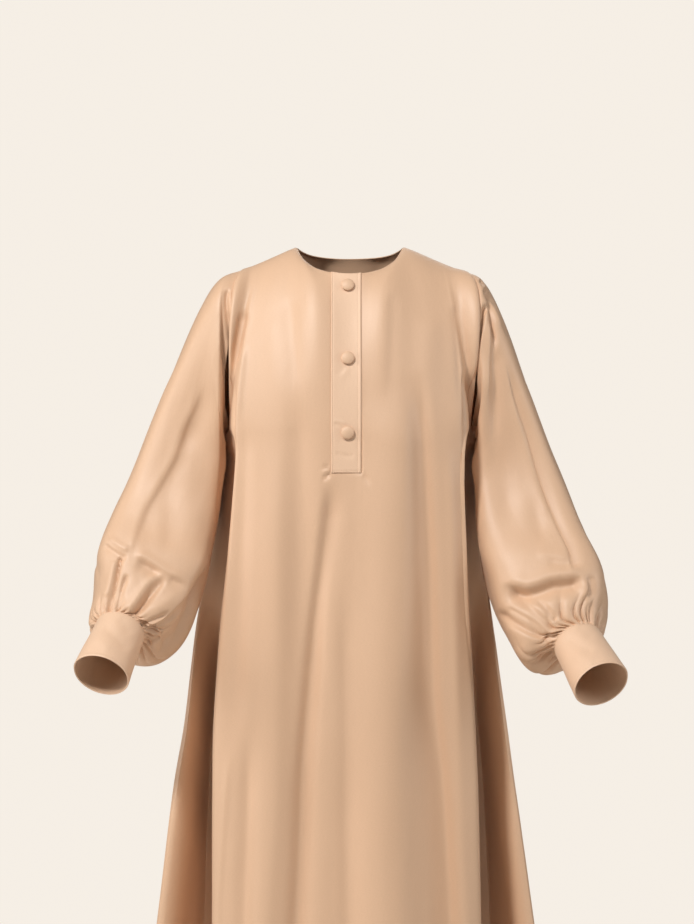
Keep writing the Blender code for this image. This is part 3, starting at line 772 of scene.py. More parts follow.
SLEEVE_CREASES = {
    RIGHT: {
        "front": [
            # the pleat that runs from the shoulder down the inner edge and round to the cuff
            (9.5, 12, 2.4, 110, 60, [(-171, -2), (-177, -15), (-180, -27), (-181, -42), (-180, -100),
                (-177, -138), (-177, -180), (-178, -222), (-180, -270), (-184, -320), (-187, -360),
                (-194, -406)]),
            (6.0, 12, 2.6, 60, 14, [(-185, -346), (-187, -360), (-194, -406), (-207, -432),
                (-219, -452), (-247, -480), (-270, -497), (-292, -507)]),
            (-4.2, 3, 17, 60, 60, [(-185, -60), (-186, -140), (-188, -222), (-191, -320)]),
            (6.0, 4, 3.5, 40, 30, [(-169, -60), (-168, -100), (-167, -167), (-168, -215)]),
            (4.3, 2.4, 4, 10, 20, [(-173, -18), (-174, -35), (-173, -53), (-171, -80), (-169, -104)]),
            (-1.6, 3, 5, 8, 14, [(-170, -22), (-170, -40), (-169, -62)]),
            # the long slanting fold: a crisp line with its soft shade, which widens into a wedge below
            (3.4, 18, 9, 50, 30, [(-199, -150), (-210, -181), (-226, -218), (-242, -263), (-262, -297),
                (-282, -331), (-291, -354), (-303, -385)]),
            (-1.5, 3, 9, 60, 20, [(-208, -150), (-219, -181), (-235, -218), (-251, -263), (-270, -297),
                (-290, -331), (-299, -354), (-310, -385), (-315, -399)]),
            (2.2, 14, 9, 30, 30, [(-222, -196), (-229, -226), (-239, -256)]),
            (2.6, 17, 13, 50, 30, [(-250, -280), (-255, -330), (-257, -402)]),
            (1.4, 10, 10, 30, 30, [(-204, -330), (-207, -372), (-212, -408)]),
            # the ledge at the outer edge, and the two narrow folds that hang from it
            (3.2, 2.6, 8, 12, 6, [(-352, -380), (-338, -391), (-316, -403)]),
            (-2.0, 6, 2.6, 8, 6, [(-344, -373), (-330, -384), (-314, -393)]),
            (6.2, 3.4, 2.6, 6, 0, [(-326, -399), (-331, -425), (-341, -464), (-345, -480)]),
            (-2.2, 3, 6, 8, 8, [(-333, -404), (-338, -428), (-347, -460)]),
            (4.4, 4, 3, 10, 0, [(-316, -424), (-325, -448), (-331, -472)]),
            # the dents under the overhang, from which the folds run down to the cuff
            (-2.6, 8, 4, 14, 20, [(-308, -396), (-290, -402), (-272, -414), (-254, -424), (-232, -433)]),
            (5.0, 4, 11, 12, 16, [(-304, -406), (-290, -412), (-276, -420), (-266, -426)]),
            (6.6, 5, 8, 14, 0, [(-262, -428), (-276, -446), (-294, -470), (-306, -484)]),
            (-2.6, 6, 7, 12, 8, [(-272, -424), (-290, -444), (-308, -468), (-318, -480)]),
            (3.0, 3.4, 9, 10, 22, [(-258, -429), (-244, -437), (-226, -444)]),
            (-2.4, 9, 10, 16, 24, [(-286, -482), (-262, -466), (-238, -452)]),
            (4.6, 4, 4, 6, 18, [(-300, -500), (-284, -493), (-264, -484), (-250, -476)]),
            (3.6, 3, 4, 4, 18, [(-292, -524), (-276, -522), (-256, -516)]),
            (3.0, 4, 5, 6, 18, [(-292, -508), (-274, -508), (-256, -500)]),
            (18.0, 8, 24, 50, 40, [(-186, -410), (-200, -462), (-226, -502), (-256, -532), (-290, -550)]),
        ],
        "back": [
            (7.8, 6, 15, 70, 24, [(-196, -110), (-214, -200), (-244, -290), (-266, -370), (-286, -430)]),
            (-3.7, 12, 6, 60, 30, [(-184, -130), (-202, -220), (-230, -310), (-254, -390)]),
            (7.1, 4, 12, 24, 22, [(-322, -410), (-286, -436), (-250, -446), (-216, -436)]),
            (-4.7, 11, 5, 24, 22, [(-318, -396), (-284, -420), (-250, -430), (-214, -420)]),
            (6.2, 7, 5, 12, 20, [(-312, -486), (-284, -468), (-256, -464), (-230, -470)]),
            (5.3, 4, 5, 12, 40, [(-186, -16), (-190, -60), (-190, -110)]),
        ],
        "right": [
            # the sleeve's outer side and back
            (1.8, 12, 9, 80, 40, [(-20, -70), (-16, -190), (-30, -300), (-62, -390)]),
            (-1.4, 9, 12, 60, 40, [(-34, -110), (-32, -230), (-48, -320), (-84, -400)]),
            (2.4, 10, 14, 60, 30, [(22, -90), (20, -240), (2, -350), (-32, -436)]),
            (1.5, 6, 12, 24, 24, [(-20, -404), (-58, -424), (-100, -430), (-128, -446)]),
        ],
    },
    LEFT: {
        "front": [
            # the pleats at the shoulder
            (7.8, 3.4, 4, 8, 44, [(193, -17), (199, -33), (202, -54), (204, -74), (206, -93),
                (206, -120)]),
            (5.0, 9, 7, 30, 80, [(206, -96), (207, -150), (205, -210), (204, -260)]),
            (-2.8, 3, 8, 20, 60, [(199, -62), (198, -100), (196, -150), (194, -200)]),
            (5.3, 8, 2.4, 6, 16, [(201, -25), (211, -50), (221, -73), (227, -90)]),
            (-2.2, 3, 6, 8, 14, [(198, -29), (207, -54), (217, -78)]),
            (2.5, 2.6, 3, 3, 8, [(185, -6), (189, -12), (192, -18)]),
            (8.5, 2.2, 5, 10, 30, [(196, -40), (190, -62), (184, -87), (178, -112), (173, -134)]),
            (7.5, 8, 8, 50, 50, [(176, -118), (175, -150), (175, -190), (176, -228), (180, -268)]),
            (-5.5, 14, 3.5, 50, 50, [(190, -110), (190, -170), (188, -225), (186, -280), (185, -340),
                (186, -400), (192, -440)]),
            # the long slanting fold, sharp all the way down
            (4.7, 10, 2.0, 50, 10, [(222, -122), (236, -178), (252, -226), (268, -284), (291, -346),
                (310, -386), (314, -402), (318, -420)]),
            (-1.9, 3, 9, 40, 20, [(226, -168), (244, -228), (261, -288), (284, -350)]),
            (3.4, 15, 16, 80, 60, [(214, -210), (220, -290), (232, -372)]),
            (-2.6, 14, 14, 60, 50, [(200, -260), (202, -330), (210, -396)]),
            (2.6, 10, 12, 40, 30, [(258, -310), (268, -350), (276, -388)]),
            # the sharp inner edge, which hangs in front of the sleeve's shaded side
            (9.0, 2.4, 12, 60, 20, [(187, -150), (186, -178), (183, -221), (180.5, -263),
                (179.5, -320), (180, -377), (187, -434), (195, -462)]),
            # the overhang above the cuff, and the soft hollow over it
            (-3.6, 15, 6, 30, 20, [(212, -434), (226, -438), (250, -444), (270, -439), (288, -432),
                (311, -429), (334, -425)]),
            (12.0, 8, 15, 26, 18, [(213, -443), (226, -447), (250, -453), (270, -448), (288, -441),
                (311, -438), (334, -434)]),
            (4.6, 9, 10, 12, 16, [(222, -450), (240, -454), (260, -452)]),
            (1.7, 4.5, 8, 10, 8, [(280, -404), (290, -408), (302, -411), (316, -412)]),
            (-1.4, 9, 5, 16, 12, [(262, -400), (282, -398), (300, -400), (314, -402)]),
            (3.8, 7, 4, 12, 16, [(337, -424), (343, -436), (344, -450), (341, -466)]),
            (-1.8, 3, 6, 8, 16, [(332, -434), (337, -446), (336, -466)]),
            # the folds that fan out below it
            (2.4, 2.4, 5, 10, 6, [(221, -472), (241, -482), (264, -496), (286, -516)]),
            (5.4, 8, 3, 14, 6, [(207, -478), (229, -494), (255, -508), (287, -523)]),
            (-1.6, 4, 10, 16, 16, [(214, -496), (238, -508), (266, -522)]),
            (-1.6, 12, 9, 24, 24, [(226, -530), (246, -536), (266, -540)]),
            (3.2, 4, 5, 4, 16, [(292, -538), (276, -543), (258, -548)]),
            (2.8, 4, 6, 18, 8, [(232, -458), (252, -470), (274, -488), (292, -506)]),
            (3.2, 4, 5, 14, 6, [(262, -458), (278, -472), (294, -492)]),
        ],
        "back": [
            (7.4, 15, 6, 70, 24, [(200, -120), (216, -210), (240, -300), (262, -380), (280, -436)]),
            (-3.7, 6, 12, 60, 30, [(188, -140), (204, -230), (226, -320), (250, -400)]),
            (6.8, 4, 12, 24, 22, [(214, -430), (246, -448), (284, -440), (320, -416)]),
            (-4.7, 11, 5, 24, 22, [(210, -416), (246, -432), (282, -424), (316, -402)]),
            (6.2, 6, 6, 12, 20, [(224, -476), (250, -474), (278, -484), (306, -502)]),
            (5.0, 5, 4, 12, 40, [(192, -20), (196, -64), (196, -114)]),
        ],
        "left": [
            # the sleeve's outer side and back
            (1.8, 9, 12, 80, 40, [(-16, -80), (-14, -200), (-26, -300), (-56, -390)]),
            (-1.4, 12, 9, 60, 40, [(-30, -120), (-30, -230), (-46, -330), (-80, -400)]),
            (2.4, 14, 10, 60, 30, [(24, -100), (20, -250), (4, -360), (-28, -440)]),
            (1.5, 12, 6, 24, 24, [(-18, -420), (-56, -436), (-96, -440), (-126, -452)]),
        ],
    },
}

# The cloth swells inwards under each arm and again above the elbow's fall, where it leans on the
# robe's side. place is how far round the sleeve, and ring how far down it, the swell lies.
Swell = namedtuple("Swell", "height place round ring down")
SWELLS = {
    RIGHT: [Swell(4.5, 0.45, 0.09, 1.3, 1.5), Swell(3.5, 0.46, 0.09, 3.4, 0.9)],
    LEFT: [Swell(6, 0.45, 0.09, 1.4, 1.6), Swell(9, 0.46, 0.09, 3.4, 0.9)],
}

# Gathers at each cuff. Short ones lie between the long ones, and no two are alike.
GATHER_COUNT = 33
GATHER_SEED = {RIGHT: 21, LEFT: 34}
Gather = namedtuple("Gather", "share depth reach")
GATHER_KINDS = [Gather(0.42, (3.6, 4.8), (16, 28)), Gather(0.36, (4.4, 6.0), (30, 50)),
                Gather(0.22, (4.6, 6.6), (50, 85))]
GATHER_HALF_WIDTH = 1.6 * MM
GATHER_SPREAD = 0.07
GATHER_CRISP = 1.3
GATHER_STRAY = 0.28
GATHER_DRIFT = 0.16
GATHER_UNEVEN = (0.8, 1.35)
# A gather keeps this share of its depth at the seam, and has all of it from here on.
GATHER_AT_SEAM = 0.2
GATHER_RISE = 5 * MM
# It is at its deepest for this share of its length, and then fades out.
GATHER_HOLDS = 0.2

# Soft dents in the pressed pieces.
CUFF_CREASES = {
    RIGHT: {
        "front": [
            (1.6, 9, 7, 10, 10, [(-352, -496), (-340, -506), (-326, -520), (-316, -536)]),
            (-1.0, 8, 8, 10, 10, [(-366, -512), (-352, -522), (-338, -536)]),
            (1.1, 7, 9, 8, 8, [(-328, -486), (-318, -500), (-312, -514)]),
        ],
        "back": [
            (1.2, 9, 8, 10, 10, [(-350, -506), (-330, -522), (-318, -540)]),
        ],
    },
    LEFT: {
        "front": [
            (1.5, 7, 9, 10, 10, [(306, -512), (318, -522), (334, -530), (348, -534)]),
            (-1.0, 8, 8, 10, 10, [(316, -536), (334, -546), (350, -552)]),
            (1.0, 9, 7, 8, 8, [(322, -498), (336, -506), (346, -518)]),
        ],
        "back": [
            (1.2, 8, 9, 10, 10, [(344, -512), (328, -530), (320, -548)]),
        ],
    },
}
PLACKET_CREASES = {
    "front": [
        (0.5, 4, 6, 6, 10, [(-6, -130), (-12, -137), (-20, -146)]),
        (-0.35, 5, 4, 6, 10, [(-1, -131), (-7, -139), (-14, -149)]),
        (0.5, 2.6, 3.4, 5, 5, [(-25, -211), (-16, -214), (-8, -220)]),
        (-0.45, 3, 2.6, 5, 5, [(-24, -206), (-14, -209), (-4, -212)]),
        (0.5, 3, 4, 6, 6, [(-22, -252), (-8, -257), (8, -256)]),
        (0.4, 3, 4, 4, 6, [(8, -232), (12, -240), (12, -252)]),
    ],
}

# ================================================================ materials

# The crepe's threads: how wide they are, and how many times longer they look than wide.
THREAD = 0.42 * MM
THREAD_STRETCH = 7
# Cells a metre, across the cloth and down it, of its slight swells and of its patches of colour.
SWELL_CELLS, PATCH_CELLS = (60, 26), (7, 3)
THREAD_BUMP = {"Strength": 0.5, "Distance": 0.00012}
SWELL_BUMP = {"Strength": 0.35, "Distance": 0.0012}
TWIST_BUMP = {"Strength": 0.4, "Distance": 0.00008}
# How light the threads are between the darkest and the lightest, and how far the gloss varies.
SLUB_LIGHTNESS = (0.955, 1.03)
GLOSS_VARIES = 0.05


def link_nodes(tree, kind, settings=None, **inputs):
    """A new node with its settings and its inputs, each a value or an output to link from. An input
    goes by its name, or by its number after an underscore."""
    node = tree.nodes.new("ShaderNode" + kind)
    for name, value in (settings or {}).items():
        setattr(node, name, value)
    for name, value in inputs.items():
        key = int(name[1:]) if name[1:].isdigit() else name
        socket = node.inputs[key]
        if isinstance(value, bpy.types.NodeSocket):
            tree.links.new(value, socket)
        else:
            socket.default_value = value
    return node


def plain(name, colour, roughness):
    made = bpy.data.materials.new(name)
    made.use_nodes = True
    shader = made.node_tree.nodes["Principled BSDF"]
    shader.inputs["Base Color"].default_value = (*colour, 1)
    shader.inputs["Roughness"].default_value = roughness
    return made


def crepe(name, light, dark, sheen, roughness):
    """Crepe with a soft satin face: fine uneven threads, faint slubs and softly varied colour."""
    made = plain(name, light, roughness)
    tree = made.node_tree
    shader = tree.nodes["Principled BSDF"]
    weave = link_nodes(tree, "TexCoord").outputs["UV"]

    def grain(across, down, detail):
        """Noise with this many cells a metre across the cloth and down it."""
        place = link_nodes(tree, "Mapping", _0=weave, Scale=(across, down, 1)).outputs[0]
        return link_nodes(tree, "TexNoise", Vector=place, Scale=1.0, Detail=detail).outputs[0]

    cells = 1 / THREAD
    warp = grain(cells, cells / THREAD_STRETCH, 1.0)
    weft = grain(cells / THREAD_STRETCH, cells, 1.0)
    threads = link_nodes(tree, "Math", {"operation": "ADD"}, _0=warp, _1=weft).outputs[0]
    fine = link_nodes(tree, "Bump", Height=threads, **THREAD_BUMP).outputs[0]
    swells = grain(*SWELL_CELLS, 2.5)
    bump = link_nodes(tree, "Bump", Height=swells, Normal=fine, **SWELL_BUMP)
    patches = grain(*PATCH_CELLS, 3.0)
    shade = link_nodes(tree, "Mix", {"data_type": "RGBA"}, _0=patches, _6=(*dark, 1), _7=(*light, 1))
    darkest, lightest = SLUB_LIGHTNESS
    slub = link_nodes(tree, "MapRange", Value=weft, _1=0.3, _2=0.7, _3=darkest, _4=lightest)
    colour = link_nodes(tree, "Mix", {"data_type": "RGBA", "blend_type": "MULTIPLY"}, _0=1.0,
                        _6=shade.outputs[2], _7=slub.outputs[0])
    gloss = link_nodes(tree, "MapRange", Value=patches, _3=roughness - GLOSS_VARIES,
                       _4=roughness + GLOSS_VARIES)
    tree.links.new(colour.outputs[2], shader.inputs["Base Color"])
    tree.links.new(gloss.outputs[0], shader.inputs["Roughness"])
    tree.links.new(bump.outputs[0], shader.inputs["Normal"])
    shader.inputs["Specular IOR Level"].default_value = 0.5
    shader.inputs["Sheen Weight"].default_value = sheen
    shader.inputs["Sheen Roughness"].default_value = 0.45
    shader.inputs["Sheen Tint"].default_value = (1.0, 0.9, 0.8, 1.0)
    return made


def thread(name, colour):
    """Sewing thread: softly shining, with a fine twist along it."""
    made = plain(name, colour, 0.5)
    tree = made.node_tree
    shader = tree.nodes["Principled BSDF"]
    place = link_nodes(tree, "TexCoord").outputs["Object"]
    twist = link_nodes(tree, "TexNoise", Vector=place, Scale=4200.0, Detail=1.0).outputs[0]
    bump = link_nodes(tree, "Bump", Height=twist, **TWIST_BUMP)
    shade = link_nodes(tree, "TexNoise", Vector=place, Scale=160.0, Detail=1.0).outputs[0]
    tint = link_nodes(tree, "Mix", {"data_type": "RGBA"}, _0=shade,
                      _6=(*[part * 0.9 for part in colour], 1),
                      _7=(*[min(part * 1.08, 1) for part in colour], 1))
    tree.links.new(tint.outputs[2], shader.inputs["Base Color"])
    tree.links.new(bump.outputs[0], shader.inputs["Normal"])
    shader.inputs["Sheen Weight"].default_value = 0.2
    return made


ROBE = crepe("robe_crepe", (0.72, 0.475, 0.312), (0.68, 0.44, 0.283), 0.1, 0.47)
# The cuffs' and placket's crepe is the robe's cloth with its own gloss and sheen, painted lighter:
# painted light for the brighter light that falls on these pieces.
PRESSED_PAINTED_LIGHT = crepe("pressed_crepe_painted_light", (0.79, 0.545, 0.375), (0.76, 0.515, 0.35), 0.12, 0.55)
COVER = crepe("cover_crepe", (0.74, 0.495, 0.33), (0.70, 0.46, 0.30), 0.12, 0.52)
THREAD_LOOK = thread("sewing_thread", (0.70, 0.46, 0.30))

# ================================================================ sewing


def traced(points, normals, distance, reach):
    """The line that lies reach from a grid's first row, with the cloth's normals along it."""
    after = np.clip((distance < reach).sum(0), 1, len(distance) - 1)
    column = np.arange(distance.shape[1])
    low, high = distance[after - 1, column], distance[after, column]
    share = ((reach - low) / (high - low))[:, None]
    line = points[after - 1, column] * (1 - share) + points[after, column] * share
    return line, normals[after - 1, column] * (1 - share) + normals[after, column] * share


def edge_line(cloth, reach, foot=False):
    """The line that lies reach from a cloth's top edge, or from its foot."""
    down = cloth.down[:, :cloth.points.shape[1]]
    if foot:
        return traced(cloth.points[::-1], cloth.normals[::-1], (down[-1:] - down)[::-1], reach)
    return traced(cloth.points, cloth.normals, down, reach)


def sewn_line_tree():
    """Geometry nodes that lay one short thread at every pitch along each path."""
    tree = bpy.data.node_groups.new("sewn_line", "GeometryNodeTree")
    sockets = [("Path", "Geometry"), ("Pitch", "Float"), ("Thread length", "Float"),
               ("Thread thickness", "Float"), ("Thread", "Material")]
    for name, kind in sockets:
        tree.interface.new_socket(name, in_out="INPUT", socket_type="NodeSocket" + kind)
    tree.interface.new_socket("Stitches", in_out="OUTPUT", socket_type="NodeSocketGeometry")
    new = tree.nodes.new
    given, made = new("NodeGroupInput"), new("NodeGroupOutput")
    curve, even = new("GeometryNodeMeshToCurve"), new("GeometryNodeResampleCurve")
    even.mode = "LENGTH"
    way, up = new("GeometryNodeInputTangent"), new("GeometryNodeInputNamedAttribute")
    up.data_type = "FLOAT_VECTOR"
    up.inputs["Name"].default_value = "up"
    along, upright = (new("FunctionNodeAlignRotationToVector") for _ in range(2))
    along.axis = "X"
    upright.axis, upright.pivot_axis = "Z", "X"
    bead = new("GeometryNodeMeshUVSphere")
    for field, value in (("Segments", 8), ("Rings", 4), ("Radius", 0.5)):
        bead.inputs[field].default_value = value
    smooth, size = new("GeometryNodeSetShadeSmooth"), new("ShaderNodeCombineXYZ")
    shape, place = new("GeometryNodeTransform"), new("GeometryNodeInstanceOnPoints")
    real, look = new("GeometryNodeRealizeInstances"), new("GeometryNodeSetMaterial")
    for source, output, target, field in (
        (given, "Path", curve, "Mesh"), (curve, "Curve", even, "Curve"),
        (given, "Pitch", even, "Length"), (way, "Tangent", along, "Vector"),
        (along, "Rotation", upright, "Rotation"), (up, "Attribute", upright, "Vector"),
        (given, "Thread length", size, "X"), (given, "Thread thickness", size, "Y"),
        (given, "Thread thickness", size, "Z"), (bead, "Mesh", smooth, "Geometry"),
        (smooth, "Geometry", shape, "Geometry"), (size, "Vector", shape, "Scale"),
        (even, "Curve", place, "Points"), (shape, "Geometry", place, "Instance"),
        (upright, "Rotation", place, "Rotation"), (place, "Instances", real, "Geometry"),
        (real, "Geometry", look, "Geometry"), (given, "Thread", look, "Material"),
        (look, "Geometry", made, "Stitches"),
    ):
        tree.links.new(source.outputs[output], target.inputs[field])
    return tree


def sew(name, lines):
    """A piece of stitches along lines, each its points, the cloth's normals there, and closed."""
    places, ups, edges, first = [], [], [], 0
    for line, up, closed in lines:
        count = len(line)
        places.append(line)
        ups.append(up)
        edges += [(first + k, first + k + 1) for k in range(count - 1)]
        if closed:
            edges.append((first + count - 1, first))
        first += count
    mesh = bpy.data.meshes.new(name)
    mesh.from_pydata(np.concatenate(places).tolist(), edges, [])
    mesh.attributes.new("up", "FLOAT_VECTOR", "POINT").data.foreach_set(
        "vector", np.concatenate(ups).astype(np.float32).ravel())
    piece = placed(name, mesh)
    layer = piece.modifiers.new("sewn_line", "NODES")
    layer.node_group = SEWN_LINE
    settings = {"Pitch": STITCH_PITCH, "Thread length": STITCH_LENGTH,
                "Thread thickness": 2 * THREAD_RADIUS, "Thread": THREAD_LOOK}
    for socket in SEWN_LINE.interface.items_tree:
        if socket.in_out == "INPUT" and socket.name in settings:
            layer[socket.identifier] = settings[socket.name]
    shown = piece.evaluated_get(bpy.context.evaluated_depsgraph_get())
    plain_mesh = bpy.data.meshes.new_from_object(shown)
    piece.modifiers.remove(layer)
    piece.data = plain_mesh
    bpy.data.meshes.remove(mesh)
    plain_mesh.name = name
    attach(piece, "root")
    return piece


SEWN_LINE = sewn_line_tree()

# ================================================================ the cloth pieces


def finished(piece, node):
    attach(piece, "root")
    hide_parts(node)


def edge_roll(distance, reach, depth):
    """How far an edge is turned in within reach of it."""
    return depth * np.clip(1 - distance / reach, 0, 1) ** 2


def stitch_groove(distance, reach):
    """The shallow channel that a row of stitches pulls into the cloth."""
    return GROOVE_DEPTH * bell((distance - reach) / GROOVE_HALF)


def turned_edge(distance, reach):
    """The double cloth of a turned edge stands a little proud as far as its stitches."""
    return -TURN_PROUD * (1 - smooth_step(reach + TURN_STEP[0], reach + TURN_STEP[1], distance))


# The row and the column whose lengths set how a panel's columns and rows are shared out, and how
# many places each is measured at.
GRID_ROW, GRID_COLUMN = 1.34, 0.9
ROW_PLACES, COLUMN_PLACES, SLEEVE_PLACES, PLACKET_PLACES = 1201, 801, 601, 401


def robe_grid(panel):
    """The places of a panel's columns and rows, close together where its folds are small."""
    if panel == "front":
        low, high, columns, rows = -SIDE_SEAM, SIDE_SEAM, FRONT_COLUMNS, FRONT_ROWS
    else:
        low, high, columns, rows = SIDE_SEAM, LOOP - SIDE_SEAM, BACK_COLUMNS, BACK_ROWS
    places = np.linspace(low, high, ROW_PLACES)
    line = robe_form(places, [GRID_ROW], panel)[0]
    density = np.ones(len(places))
    if panel == "front":
        # closer by the placket and its puckers, and wider on the plain sides behind the folded edges
        density += 0.8 * bell((line[:, 0] + 5 * MM) / (45 * MM))
        side = np.abs(places)
        density -= 0.55 * smooth_step(2.1, 2.2, side) * (1 - smooth_step(3.1, 3.3, side))
    q = even_places(line, places, columns, density)
    heights = np.linspace(0, 2, COLUMN_PLACES)
    column = GRID_COLUMN if panel == "front" else BACK_MIDDLE - GRID_COLUMN
    line = robe_form([column], heights, panel)[:, 0]
    # closer above the hip
    density = 1 + 1.3 * smooth_step(-0.46, -0.34, line[:, 2])
    return q, even_places(line, heights, rows, density)


def eased(points, q, panel):
    """The form with the sharp line below each neck point spread out, more so further down."""
    place = np.abs(q if panel == "front" else q - BACK_MIDDLE)
    where = bell((place - 1) / EASING_ROUND)[:, None]
    down = lay_cloth(points).down
    for step in range(NECK_EASING):
        share = where * smooth_step(0, 1, (down[..., None] - EASING_STEP * step) / EASING_FADE)
        middle = (points[:, :-2] + points[:, 2:]) / 2
        points = points.copy()
        points[:, 1:-1] += (middle - points[:, 1:-1]) * 0.5 * share[:, 1:-1]
    return points


def under_placket(points):
    """1 where the placket lies on the front, and 0 away from it."""
    x, z = points[..., 0], points[..., 2]
    middle, half = (PLACKET_LEFT_X + PLACKET_RIGHT_X) / 2, (PLACKET_RIGHT_X - PLACKET_LEFT_X) / 2
    beside = smooth_step(half + SMOOTH_RIM[0], half + SMOOTH_RIM[1], np.abs(x - middle))
    below = smooth_step(-PLACKET_FOOT_Z + SMOOTH_RIM[0], -PLACKET_FOOT_Z + SMOOTH_RIM[1], -z)
    return (1 - beside) * (1 - below)


def make_robe_panel(panel, creases):
    """The front's or the back's cloth and its lines of stitches along the neck and the hem."""
    q, rows = robe_grid(panel)
    cloth = lay_cloth(eased(robe_form(q, rows, panel), q, panel), turned=True)
    depth = creased(cloth, creases)
    depth += rippled(cloth.across, cloth.down, ROBE_RIPPLES, RIPPLE_SEED[panel])
    neck = np.abs(q) < 1 if panel == "front" else np.abs(q - BACK_MIDDLE) < 1
    from_hem = cloth.down[-1:] - cloth.down
    edges = np.where(neck, turned_edge(cloth.down, NECK_TURN) + stitch_groove(cloth.down, NECK_TURN), 0)
    edges += turned_edge(from_hem, HEM_TURN) + stitch_groove(from_hem, HEM_TURN)
    for distance in (cloth.across - cloth.across[:, :1], cloth.across[:, -1:] - cloth.across, cloth.down):
        edges += edge_roll(distance, *SEAM_ROLL)
    edges += edge_roll(from_hem, *HEM_ROLL)
    depth += edges
    if panel == "front":
        depth *= 1 - under_placket(cloth.points) * (cloth.points[..., 1] < 0)
    cloth = pressed(cloth, depth)
    line, up = edge_line(cloth, NECK_TURN)
    show = neck & ~((panel == "front") & (line[:, 0] > PLACKET_LEFT_X) & (line[:, 0] < PLACKET_RIGHT_X))
    runs = np.split(np.flatnonzero(show), np.flatnonzero(np.diff(np.flatnonzero(show)) > 1) + 1)
    lines = [(line[run], up[run], False) for run in runs]
    lines.append((*edge_line(cloth, HEM_TURN, foot=True), False))
    return cloth, lines


def make_front():
    cloth, lines = make_robe_panel("front", FRONT_CREASES)
    piece = shell("front_cloth", cloth, CLOTH_THICKNESS, ROBE)
    finished(piece, "front")
    stitches = sew("front_stitches", lines)


def make_back():
    cloth, lines = make_robe_panel("back", BACK_CREASES)
    piece = shell("back_cloth", cloth, CLOTH_THICKNESS, ROBE)
    finished(piece, "back")
    stitches = sew("back_stitches", lines)


def swelled(sign, v, rows):
    """How far a sleeve swells towards the robe's side at each of its points."""
    total = np.zeros((len(rows), len(v)))
    for swell in SWELLS[sign]:
        total += (swell.height * MM * bell((v - swell.place) / swell.round)
                  * bell((rows[:, None] - swell.ring) / swell.down))
    return total


def gathered(cloth, sign):
    """How far the gathers at a cuff press the sleeve in, from their seam outwards."""
    chance = np.random.default_rng(GATHER_SEED[sign])
    columns = cloth.points.shape[1]
    gap = (cloth.down[-1:] - cloth.down)[:, :columns]
    round_length = cloth.across[:, -1:]
    v = np.arange(columns) / columns
    kinds = chance.choice(len(GATHER_KINDS), GATHER_COUNT, p=[kind.share for kind in GATHER_KINDS])
    total = np.zeros(gap.shape)
    for number, kind in enumerate(GATHER_KINDS[k] for k in kinds):
        centre = (number + chance.uniform(-GATHER_STRAY, GATHER_STRAY)) / GATHER_COUNT
        depth, reach = chance.uniform(*kind.depth) * MM, chance.uniform(*kind.reach) * MM
        drift = chance.uniform(-GATHER_DRIFT, GATHER_DRIFT)
        half = GATHER_HALF_WIDTH * chance.uniform(*GATHER_UNEVEN) + GATHER_SPREAD * gap
        offset = ((v - centre + 0.5) % 1 - 0.5) * round_length - drift * gap
        along = GATHER_AT_SEAM + (1 - GATHER_AT_SEAM) * smooth_step(0, GATHER_RISE, gap)
        along = along * (1 - smooth_step(GATHER_HOLDS * reach, reach, gap))
        total += depth * np.exp(-np.abs(offset / half) ** GATHER_CRISP) * along
    return total


def sleeve_rows(sign):
    """The places of a sleeve's rows, closest together by the cuff and close by the armhole too."""
    last = len(SLEEVE[sign])
    places = np.linspace(0, last, SLEEVE_PLACES)
    quarters = np.array([0.0, 0.25, 0.5, 0.75])
    line = sleeve_form(sign, quarters, places).reshape(len(places), -1)
    density = 1 + 1.1 * smooth_step(last - 2.4, last - 1, places)
    density += 0.4 * (1 - smooth_step(0.5, 1.5, places))
    return even_places(line, places, SLEEVE_ROWS, density)


def make_sleeve(sign):
    v = np.arange(SLEEVE_COLUMNS) / SLEEVE_COLUMNS
    rows = sleeve_rows(sign)
    cloth = lay_cloth(sleeve_form(sign, v, rows), closed=True, turned=sign == RIGHT)
    across, down = cloth.across[:, :-1], cloth.down[:, :-1]
    depth = creased(cloth, SLEEVE_CREASES[sign]) + gathered(cloth, sign) - swelled(sign, v, rows)
    depth += rippled(across, down, SLEEVE_RIPPLES, sign) * away_from_join(across)
    depth += edge_roll(down, *SEAM_ROLL)
    cloth = pressed(cloth, depth)
    name = SIDE_NAME[sign]
    piece = shell("sleeve_cloth_" + name, cloth, CLOTH_THICKNESS, ROBE)
    finished(piece, "sleeve_" + name)


def make_cuff(sign):
    v = np.arange(CUFF_COLUMNS) / CUFF_COLUMNS
    form = cuff_form(sign, v, np.linspace(0, 1, CUFF_ROWS))
    cloth = lay_cloth(form, closed=True, turned=sign == RIGHT)
    across, down = cloth.across[:, :-1], cloth.down[:, :-1]
    from_rim = down[-1:] - down
    depth = creased(cloth, CUFF_CREASES[sign])
    depth += edge_roll(down, *CUFF_SEAM_ROLL) + edge_roll(from_rim, *CUFF_RIM_ROLL)
    depth += stitch_groove(down, CUFF_SEAM_STITCH) + stitch_groove(from_rim, CUFF_RIM_STITCH)
    depth += rippled(across, down, CUFF_RIPPLES, sign) * away_from_join(across)
    cloth = pressed(cloth, depth)
    name = SIDE_NAME[sign]
    piece = shell("cuff_cloth_" + name, cloth, CUFF_THICKNESS, PRESSED_PAINTED_LIGHT)
    finished(piece, "cuff_" + name)
    lines = [(*edge_line(cloth, CUFF_SEAM_STITCH), True),
             (*edge_line(cloth, CUFF_RIM_STITCH, foot=True), True)]
    stitches = sew("cuff_stitches_" + name, lines)


# ================================================================ placket and buttons


